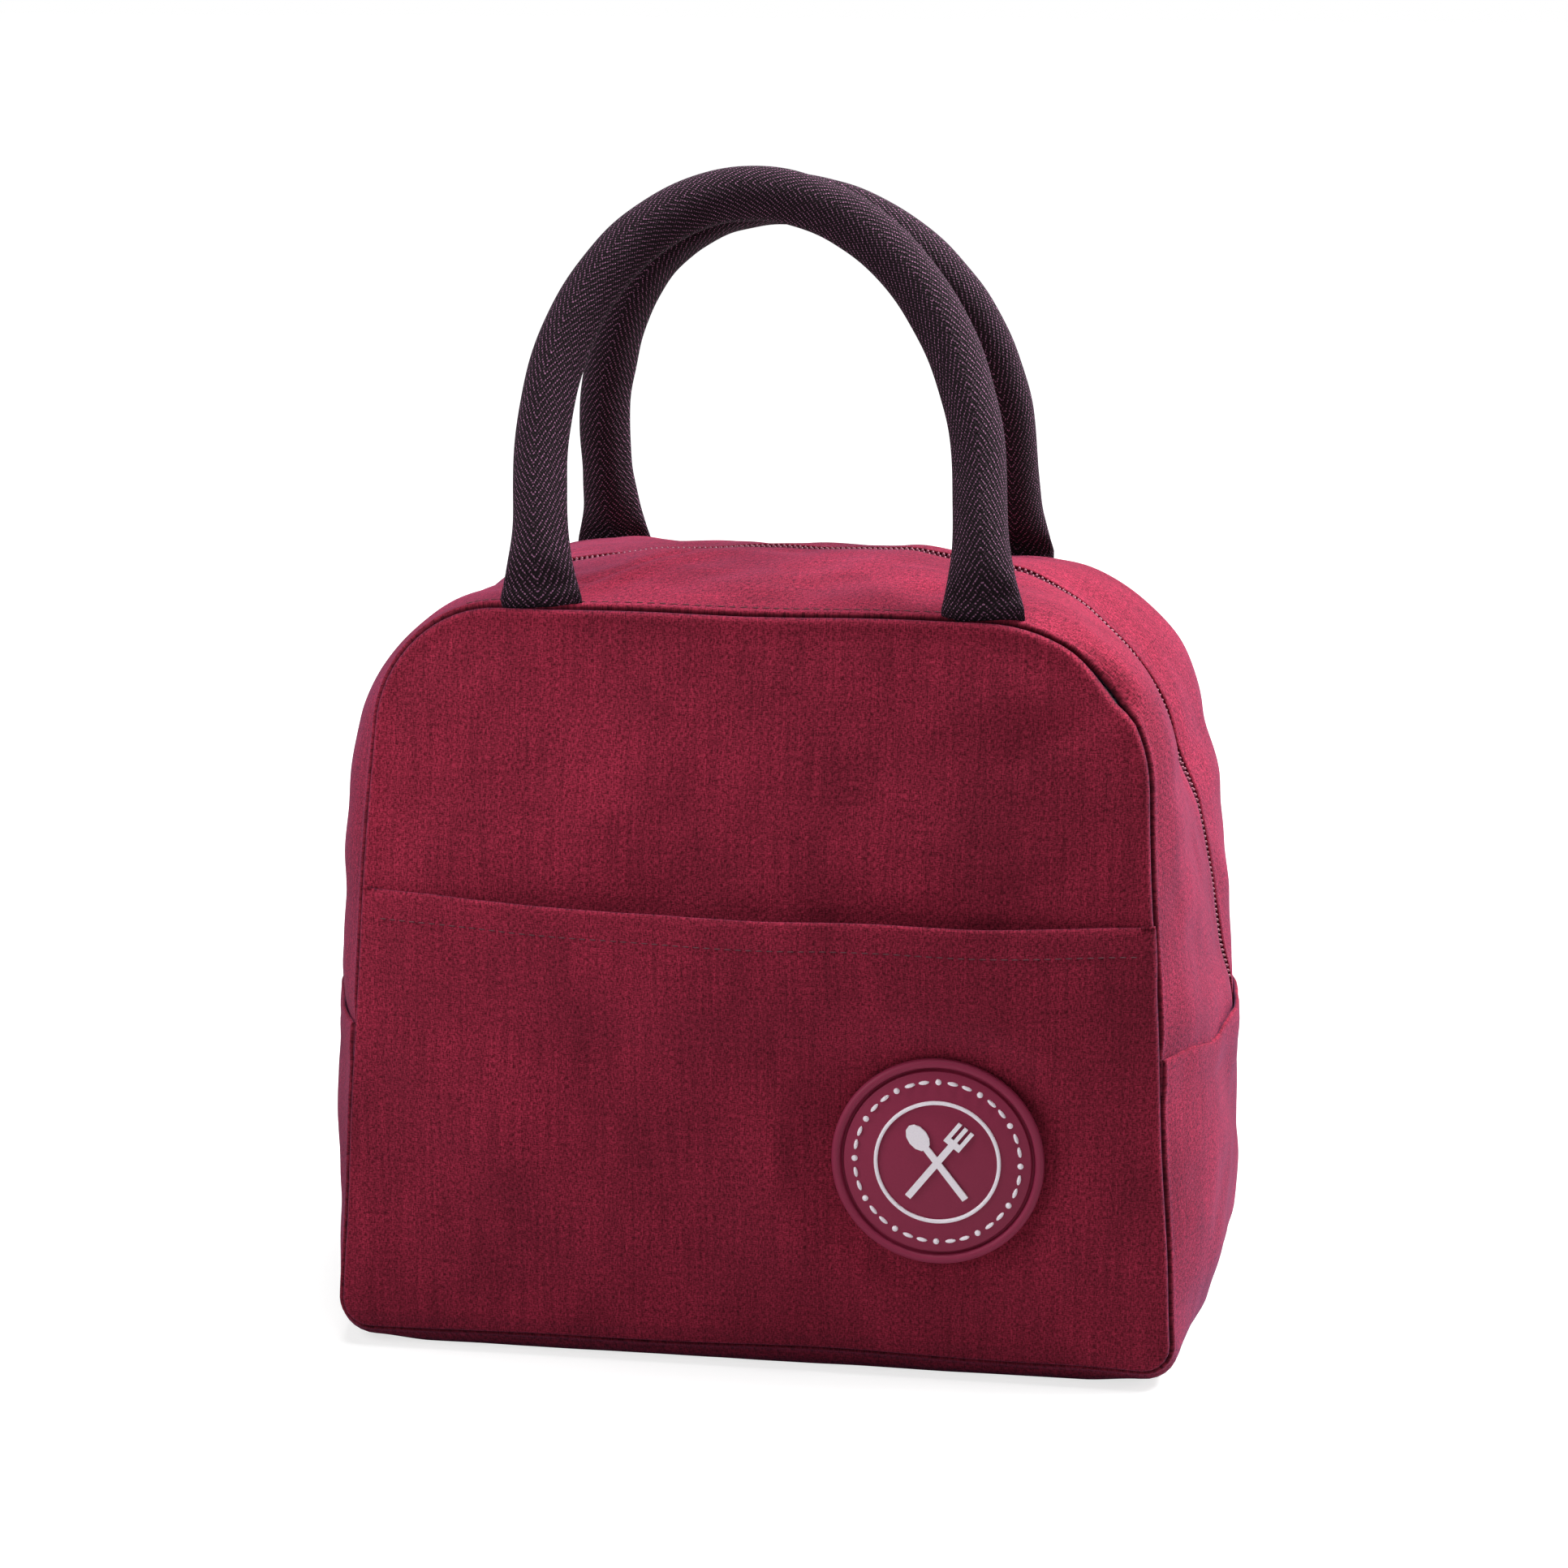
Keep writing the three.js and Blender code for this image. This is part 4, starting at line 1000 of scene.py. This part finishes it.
def make_bands():
    length = strip_length(UPPER)
    ends = (-BAND_TUCK, length + BAND_TUCK)
    lay = lay_strip(UPPER)
    for name, side in SIDES:
        leaf = f"{name}_leaf"
        shares = np.linspace(0, 1, BAND_POINTS)[1:]
        flat = [(1 - s, -(1 - s) * SEAM_REACH + s * BAND_EDGE, 0) for s in shares]
        under = [(0, BAND_EDGE + back, height) for back, height in BAND_EDGE_TURN]
        columns = [(side * a, side * b, h) for a, b, h in turned_edge() + flat + under]
        bm = strip_pattern(UPPER, side, columns, *ends)
        for vert in bm.verts:
            near = 1 - ease(abs(vert.co.x), 3, 12)
            run = vert.co.y
            slider = (BAND_EDGE_AT_SLIDER - BAND_EDGE) * (1 - past_slider(run))
            slit = SLIT * (1 - ease(length - run, 4, SLIT_RUN))
            uneven = 0.16 * math.sin(run / 5.3) * math.sin(run / 3.1 + side)
            vert.co.x += side * near * (slider + slit + uneven)
        add_sheet(bm, f"{name}_band_cloth", lay, leaf, f"{name}_zip_band")

        def pattern(inset, depth, side=side):
            shares = np.linspace(0, 1, BAND_LAYER_POINTS)
            columns = [(side * (1 - s), side * mix(-inset, LAYER_EDGE, s), -depth) for s in shares]
            return strip_pattern(UPPER, side, columns, *ends, step=LAYER_STEP)

        add_layers(pattern, lay, leaf, f"{name}_band_*_sheet", f"{name}_band_*")
        offsets = np.linspace(TAPE_HIDDEN, TAPE_EDGE, TAPE_POINTS)
        columns = [(0, side * offset, -TAPE_DEPTH) for offset in offsets]
        bm = strip_pattern(UPPER, side, columns, -TAPE_TUCK, length + TAPE_TUCK)
        kind = {"wall": TAPE, "material": TAPE_FINISH, "slot": "zip_tape"}
        add_sheet(bm, f"{name}_zip_tape_sheet", lay, leaf, f"{name}_zip_tape", **kind)


def make_gusset():
    length = strip_length(LOWER)
    turned = turned_edge()
    flat = [(1 - 2 * s, (1 - 2 * s) * -SEAM_REACH, 0) for s in np.linspace(0, 1, GUSSET_POINTS)[1:-1]]
    columns = turned + flat + [(-a, -b, h) for a, b, h in turned[::-1]]
    bm = strip_pattern(LOWER, 1, columns, 0, length)
    for end, out in ((0, -1), (length, 1)):
        edges = [e for e in bm.edges if e.is_boundary and all(abs(v.co.y - end) < 1e-3 for v in e.verts)]
        for run, drop in GUSSET_HEM_TURN:
            verts, edges = extrude_edges(bm, edges)
            for vert in verts:
                vert.co.y = end + out * run
                vert.co.z -= drop
    add_sheet(bm, "gusset_cloth", lay_strip(LOWER), None, "gusset")

    def pattern(inset, depth):
        shares = np.linspace(0, 1, GUSSET_LAYER_POINTS)
        columns = [(1 - 2 * s, -inset * (1 - 2 * s), -depth) for s in shares]
        return strip_pattern(LOWER, 1, columns, GUSSET_HEM, length - GUSSET_HEM, step=LAYER_STEP)

    add_layers(pattern, lay_strip(LOWER), None, "gusset_*_sheet", "gusset_*")


def make_bindings():
    """The tape round the raw edges of a face seam, inside: one closed ring for each face."""
    for name, side in SIDES:
        back = max(side, 0)
        bm = bmesh.new()
        for half in (UPPER, LOWER):
            open_half = {**half, "start": FOLD}
            length = strip_length(open_half)
            verts, across, up = add_grid(bm, BINDING_FACES, round(length / LAYER_STEP))
            angle = 2 * math.pi * across
            hand, place, _ = stations(open_half, length * up)
            deepest = BINDING_INSET + BINDING_WIDTH / 2
            share = (BINDING_INSET + BINDING_WIDTH / 2 * np.cos(angle)) / deepest
            rim_x, rim_z, _, _ = outline(open_half, hand, place, back)
            deep_x, deep_z, _, _ = outline(open_half, hand, place, back, deepest)
            px, pz = mix(rim_x, deep_x, share), mix(rim_z, deep_z, share)
            puff = BINDING / 2 * np.sign(np.sin(angle)) * np.abs(np.sin(angle)) ** 0.5
            y = side * (face_depth(pz) - BINDING_DEPTH + puff + 0.15 * np.sin(px / 2.1) * np.sin(pz / 2.3))
            move(verts, *settle(np.stack([hand * px, y, pz], 1)).T * MM)
        bmesh.ops.remove_doubles(bm, verts=bm.verts, dist=0.05 * MM)
        bmesh.ops.recalc_face_normals(bm, faces=bm.faces)
        ring = piece_of(bm, f"{name}_binding_tape", BINDING_FINISH)
        rides(ring, f"{name}_leaf", f"{name}_binding_lower", f"{name}_binding_upper", slot="binding_tape")


def lay_pocket(x, z, height):
    """The place of the pocket's pattern point, in front of the face and settled with it."""
    share = np.clip(x / side_width(x, z, 0), -1, 1)
    inside = 1 - share**2
    lift = POCKET_BULGE * inside * ease(z, FOLD - 8, POCKET_TOP - 8)
    lift = lift + 0.5 * ripple(x, z / 2.5, 30, 71) * ease(inside, 0, 0.2) * ease(z, 96, 125)
    _, _, inset = from_outline(x, z, 0)
    place = lay_face(-1)(x, z, height + POCKET_LIFT * ease(inset, 2.5, 7))
    place[:, 0] += ease(share, 0.95, 1) * ease(z, 108, 126)
    place[:, 1] -= lift
    if 0 in DRAPES:
        loose = sample(DRAPES[0], share, up_face(z, POCKET_TOP))
        place += loose * (off_badge(x, z) * ease(z, *BASE_CALM))[:, None]
    place[:, 2] += (along(POCKET_TOPS, share) - POCKET_TOP) * ease(z, POCKET_TILT_START, POCKET_TOP)
    return place


def make_pocket():
    bm = face_pattern(-1, RIM, BASE_SEAM + RIM, POCKET_TOP, seam_profile(), open_top=True)
    top = [e for e in bm.edges if e.is_boundary and min(v.co.y for v in e.verts) > POCKET_TOP - 1e-3]
    roll = [(HEM_ROLL * 0.7, -0.3 * HEM_ROLL), (HEM_ROLL, -HEM_ROLL), (0.5 * HEM_ROLL, -1.8 * HEM_ROLL)]
    for rise, height in [*roll, (-2, -2 * HEM_ROLL), (-HEM, -2 * HEM_ROLL)]:
        verts, top = extrude_edges(bm, top)
        for vert in verts:
            vert.co.y = POCKET_TOP + rise
            vert.co.z = height
    add_sheet(bm, "pocket_cloth", lay_pocket, "front_leaf", "pocket_lower", "pocket_upper")


def beads(name, lay, spots, ahead, half_size, material):
    """A row of threads or coil turns: a stretched ball at each (x, y) pattern point and level, turned along
    the row."""
    (x, y, level), (dx, dy) = spots, ahead
    bm = bmesh.new()
    for spot, nxt in zip(lay(x, y, level), lay(x + dx, y + dy, level)):
        turn = Vector(nxt - spot).to_track_quat("X", "Y").to_matrix().to_4x4()
        matrix = Matrix.Scale(MM, 4) @ Matrix.Translation(spot) @ turn @ Matrix.Diagonal((*half_size, 1))
        bmesh.ops.create_uvsphere(bm, u_segments=8, v_segments=5, radius=1, matrix=matrix)
    return piece_of(bm, name, material)


def make_stitches():
    size = (STITCH_LENGTH / 2, THREAD / 2, THREAD / 2)
    middle = strip_length(UPPER) / 2
    run = np.arange(middle + SEAM_STITCHES[0], middle + SEAM_STITCHES[1], STITCH_PITCH)
    y = SEAM_STITCH_INSET - strip_depth(UPPER, run, 0)
    x = np.arange(*HEM_STITCHES, STITCH_PITCH)
    z = np.full_like(x, POCKET_TOP - HEM + HEM_STITCH_RISE)
    for name, lay, spots, ahead in (
        ("front_top_stitches", lay_strip(UPPER), (y, run), (0, 0.5)),
        ("pocket_hem_stitches", lay_pocket, (x, z), (0.5, 0)),
    ):
        row = beads(name, lay, (*spots, THREAD / 5), ahead, size, THREAD_FINISH)
        rides(row, "front_leaf", slot="polyester_cloth")


def make_coils():
    for name, side in SIDES:
        run = np.arange(6, strip_length(UPPER) - 6, COIL_PITCH) + (COIL_PITCH / 2 if side > 0 else 0)
        depth = mix(COIL_DEPTH_AT_SLIDER, COIL_DEPTH, past_slider(run))
        spots = (np.full_like(run, side * COIL_PLACE), run, -depth)
        coil = beads(f"{name}_zip_coil", lay_strip(UPPER), spots, (0, 0.5), COIL_HALF_SIZE, COIL_FINISH)
        rides(coil, f"{name}_leaf", f"{name}_zip_teeth", slot="zip_coil")


def handle_length(side):
    return math.pi * (HANDLE_SPACING / 2 + HANDLE_HEIGHTS[side] - HANDLE_LEG) / 2 + 2 * HANDLE_LEG


def handle_line(run, side):
    """The middle line of a handle in its own plane, that far along from its left end."""
    half_span = HANDLE_SPACING / 2
    rise = HANDLE_HEIGHTS[side] - HANDLE_LEG
    total = handle_length(side)
    angle = math.pi * np.clip((run - HANDLE_LEG) / (total - 2 * HANDLE_LEG), 0, 1)
    up = np.minimum(np.minimum(run, total - run), HANDLE_LEG) + rise * np.sin(angle)
    bow = HANDLE_BOWS[side] * np.exp(-(((run - HANDLE_BOW_RUN) / HANDLE_BOW_REACH) ** 2))
    return bow - half_span * np.cos(angle) - HANDLE_SWAYS[side] * up / HANDLE_HEIGHTS[side], up


def webbing_size(up):
    """Half the width and thickness of the wrapped webbing. Its girth stays nearly the same all the way."""
    flare = (1 - np.clip(up / HANDLE_FLARE, 0, 1)) ** HANDLE_FLARE_POWER
    wide = HANDLE_RADIUS + (HANDLE_FLAT_WIDTH / 2 - HANDLE_RADIUS) * flare
    thick = np.sqrt(np.maximum(2 * HANDLE_RADIUS**2 - wide**2, (HANDLE_FLAT_THICKNESS / 2) ** 2))
    return wide, thick


def lay_handle(side, cord=False):
    """The place of a handle's pattern point: the way round it, the run along it and the height above it."""
    lean_angle = math.asin((HANDLE_Y - HANDLE_RADIUS - 0.3) / HANDLE_HEIGHTS[side])

    def place(around, run, height):
        x, up = handle_line(run, side)
        ahead_x, ahead_up = handle_line(run + 0.5, side)
        back_x, back_up = handle_line(run - 0.5, side)
        tx, tu = ahead_x - back_x, ahead_up - back_up
        size = np.hypot(tx, tu)
        nx, nu = -tu / size, tx / size
        wide, thick = (CORD_RADIUS, CORD_RADIUS) if cord else webbing_size(up)
        soft = 0 if cord else 0.16 * ripple(run, around, 17, 81 + side) * ease(up, 2, 14)
        wide, thick = wide + height + soft, thick + height + soft
        angle = 2 * math.pi * around / WEBBING_WIDTH
        rise = nu * wide * np.cos(angle)
        out = thick * np.sin(angle)
        lean = np.where(up > 0, math.sin(lean_angle) * up, -0.25 * up) + 1.3 * (1 - ease(up, 0, 10))
        y = side * (HANDLE_Y - lean - rise * math.sin(lean_angle)) - out * math.cos(lean_angle)
        z = HANDLE_Z + (up + rise) * math.cos(lean_angle) - side * out * math.sin(lean_angle)
        return np.stack([x + nx * wide * np.cos(angle), y, z], 1)

    return place


def make_handles():
    for name, side in SIDES:
        length = handle_length(side)
        body = f"{name}_handle"
        # The webbing laps over itself along the loop's inner side, and its edge is a little uneven
        bm = bmesh.new()
        verts, across, up = add_grid(bm, WEBBING_FACES, round((length + 2 * WEBBING_TUCK) / MESH_STEP))
        around = (WEBBING_WIDTH + WEBBING_LAP) * across
        run = mix(-WEBBING_TUCK, length + WEBBING_TUCK, up)
        lap = WEBBING * 0.9 * ease(around, WEBBING_WIDTH - 5, WEBBING_WIDTH + 1)
        edge = 0.1 * np.sin(run / 1.7) * np.sin(run / 0.9) * ease(around, WEBBING_WIDTH, WEBBING_WIDTH + 2)
        move(verts, WEBBING_WIDTH / 2 + around + edge, run, lap)
        webbing = finish(bm, f"{name}_webbing", lay_handle(side), WEBBING, WEBBING_FINISH)
        # The back handle's weave is half a repeat further on
        for spot in webbing.data.uv_layers["pattern"].data:
            spot.uv.x += WEBBING_WIDTH / 8 * MM * (1 + side)
        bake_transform(webbing)
        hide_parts(f"{name}_handle_webbing")

        bm = bmesh.new()
        verts, across, up = add_grid(bm, CORD_FACES, round((length - 2 * CORD_START) / CORD_STEP))
        run = mix(CORD_START, length - CORD_START, up)
        twist = STRANDS * math.pi * (across + run / STRAND_LAY)
        move(verts, across * WEBBING_WIDTH, run, 0.7 * (np.abs(np.sin(twist)) - 0.9))
        cord = finish(bm, f"{name}_cord", lay_handle(side, cord=True), 0, CORD_FINISH)
        closed = bmesh.new()
        closed.from_mesh(cord.data)
        bmesh.ops.remove_doubles(closed, verts=closed.verts, dist=1e-6)
        bmesh.ops.holes_fill(closed, edges=[e for e in closed.edges if e.is_boundary], sides=0)
        bmesh.ops.recalc_face_normals(closed, faces=closed.faces)
        closed.to_mesh(cord.data)
        closed.free()
        rides(cord, None, f"{name}_handle_core", slot="handle_cord", body=body)


def spun(profile):
    """A closed ring or disc from a profile of (radius, height), with its face up."""
    bm = bmesh.new()
    verts = [bm.verts.new((a, 0, b)) for a, b in profile]
    edges = [bm.edges.new(pair) for pair in zip(verts, verts[1:])]
    turn = {"cent": (0, 0, 0), "axis": (0, 0, 1), "angle": 2 * math.pi, "use_merge": True}
    bmesh.ops.spin(bm, geom=verts + edges, steps=BADGE_STEPS, **turn)
    bmesh.ops.remove_doubles(bm, verts=bm.verts, dist=1e-4)
    bmesh.ops.recalc_face_normals(bm, faces=bm.faces)
    return bm


def stand_on_badge(bm):
    """Turns a flat badge piece upright and moves it to the pocket."""
    x, z = BADGE_CENTRE
    y = -(BASE_DEPTH / 2 + POCKET_LIFT + BADGE_GAP)
    stand = Matrix.Translation((x, y, z)) @ Matrix.Rotation(RIGHT_ANGLE, 4, "X")
    bmesh.ops.transform(bm, matrix=Matrix.Scale(MM, 4) @ stand, verts=bm.verts)


def make_badge():
    r, face, top = BADGE_RADIUS, BADGE_THICKNESS, BADGE_TOP
    rim = [
        (r - 0.4, 0), (r, 0.5), (r, 1.6), (r - 0.35, 2.2), (r - 1, top), (r - 1.9, 2.35), (r - 2.3, 1.8),
        (r - 2.45, 0.9), (r - 2.7, 0.5), (r - 3.1, 0.5), (r - 3.3, 0.9), (r - 3.4, face - 0.1),
        (r - 3.6, face),
    ]
    bm = spun([(0, 0), *rim, (0, face)])
    stand_on_badge(bm)
    rides(piece_of(bm, "badge_disc", RUBBER_FINISH), None, "badge_base", slot="badge_rubber")

    # The ring, and short marks between it and the rim
    inner, outer = BADGE_RING
    bm = spun([
        (inner, face - 0.2), (inner, top - 0.25), (inner + 0.25, top), (outer - 0.25, top),
        (outer, top - 0.25), (outer, face - 0.2), (inner, face - 0.2),
    ])
    for k in range(BADGE_MARKS):
        angle = 2 * math.pi * k / BADGE_MARKS
        # Every third mark is a round dot
        long = k % 3 != 0
        size = Matrix.Diagonal((0.55 if long else 0.85, 1.5 if long else 0.85, 0.75, 1))
        turn = Matrix.Rotation(angle, 4, "Z") @ Matrix.Translation((BADGE_MARK_PLACE, 0, face))
        bmesh.ops.create_uvsphere(bm, u_segments=10, v_segments=6, radius=1, matrix=turn @ size)
    stand_on_badge(bm)
    rides(piece_of(bm, "badge_inlay", WHITE_FINISH), None, "badge_ring", slot="badge_inlay")


def make_castings():
    """The small cast and moulded pieces: the CAD pieces with merged points and softened edges."""
    for node_name, name, body, material, slot in (
        ("badge_cutlery", "badge_motif", "tub", WHITE_FINISH, "badge_inlay"),
        ("zip_slider", "slider_casting", "slider", METAL_FINISH, "slider_metal"),
        ("zip_pull", "pull_casting", "pull", METAL_FINISH, "slider_metal"),
    ):
        bm = bmesh.new()
        bm.from_mesh(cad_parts[node_name].data)
        bmesh.ops.remove_doubles(bm, verts=bm.verts, dist=0.01 * MM)
        bmesh.ops.dissolve_limit(bm, angle_limit=math.radians(4), verts=bm.verts, edges=bm.edges)
        bmesh.ops.recalc_face_normals(bm, faces=bm.faces)
        piece = piece_of(bm, name, material, smooth=False)
        edges = piece.modifiers.new("soft_edges", "BEVEL")
        edges.width = 0.2 * MM
        edges.segments = 3
        edges.limit_method = "ANGLE"
        edges.angle_limit = math.radians(40)
        rides(piece, None, node_name, slot=slot, body=body)


# Studio


def make_studio():
    bpy.ops.mesh.primitive_plane_add(size=60)
    floor = bpy.context.object
    floor.name = "floor"
    white = linear("#ffffff")
    values = {"Base_Color": linear("#a9a9a9"), "Specular_IOR_Level": 0, "Emission_Color": white}
    material, tree, shader = surface("floor_paper", Roughness=1, **values)
    # The paper looks white to the camera, and darker only in the bag's own shadow
    seen = node(tree, "ShaderNodeLightPath").outputs["Is Camera Ray"]
    place = node(tree, "ShaderNodeTexCoord").outputs["Object"]
    reach = node(tree, "ShaderNodeVectorMath", {0: place}, operation="LENGTH").outputs["Value"]
    glow = spread(tree, reach, 0.72, 1, 0.3, 1.1)
    tree.links.new(maths(tree, "MULTIPLY", seen, glow), shader.inputs["Emission Strength"])
    floor.data.materials.append(material)

    world = bpy.data.worlds.new("studio")
    bpy.context.scene.world = world
    world.use_nodes = True
    tree = world.node_tree
    rays = node(tree, "ShaderNodeLightPath")
    seen = maths(tree, "MAXIMUM", rays.outputs["Is Camera Ray"], rays.outputs["Is Glossy Ray"])
    background = tree.nodes["Background"]
    background.inputs["Color"].default_value = white
    tree.links.new(spread(tree, seen, WORLD_LIGHT, 1, 0, 1), background.inputs["Strength"])

    for name, place, target, size, power in LAMPS:
        lamp = bpy.data.lights.new(name, "AREA")
        lamp.size = size
        lamp.energy = power
        lamp_object = bpy.data.objects.new(name, lamp)
        bpy.context.scene.collection.objects.link(lamp_object)
        lamp_object.location = place
        lamp_object.rotation_euler = (Vector(target) - Vector(place)).to_track_quat("-Z", "Y").to_euler()
        lamp_object.visible_camera = False


def make_camera():
    """The photograph's view."""
    place = Vector((0.14648, -0.98793, 0.37183))
    forward = Vector((-0.14399835, 0.96537541, -0.21751965))
    up = Vector((-0.03646374, 0.21448501, 0.9760464))
    camera = bpy.data.cameras.new("camera")
    camera.lens = 83.54
    camera.sensor_width = 36
    camera.clip_start = 0.01
    seen = bpy.data.objects.new("camera", camera)
    bpy.context.scene.collection.objects.link(seen)
    right = forward.cross(up).normalized()
    seen.matrix_world = Matrix.Translation(place) @ Matrix((right, up, -forward)).transposed().to_4x4()
    bpy.context.scene.camera = seen


bpy.context.scene.view_settings.view_transform = "Standard"
make_camera()
make_studio()
simulate_drapes()
make_faces()
make_bands()
make_gusset()
make_pocket()
make_bindings()
make_stitches()
make_coils()
make_handles()
make_badge()
make_castings()
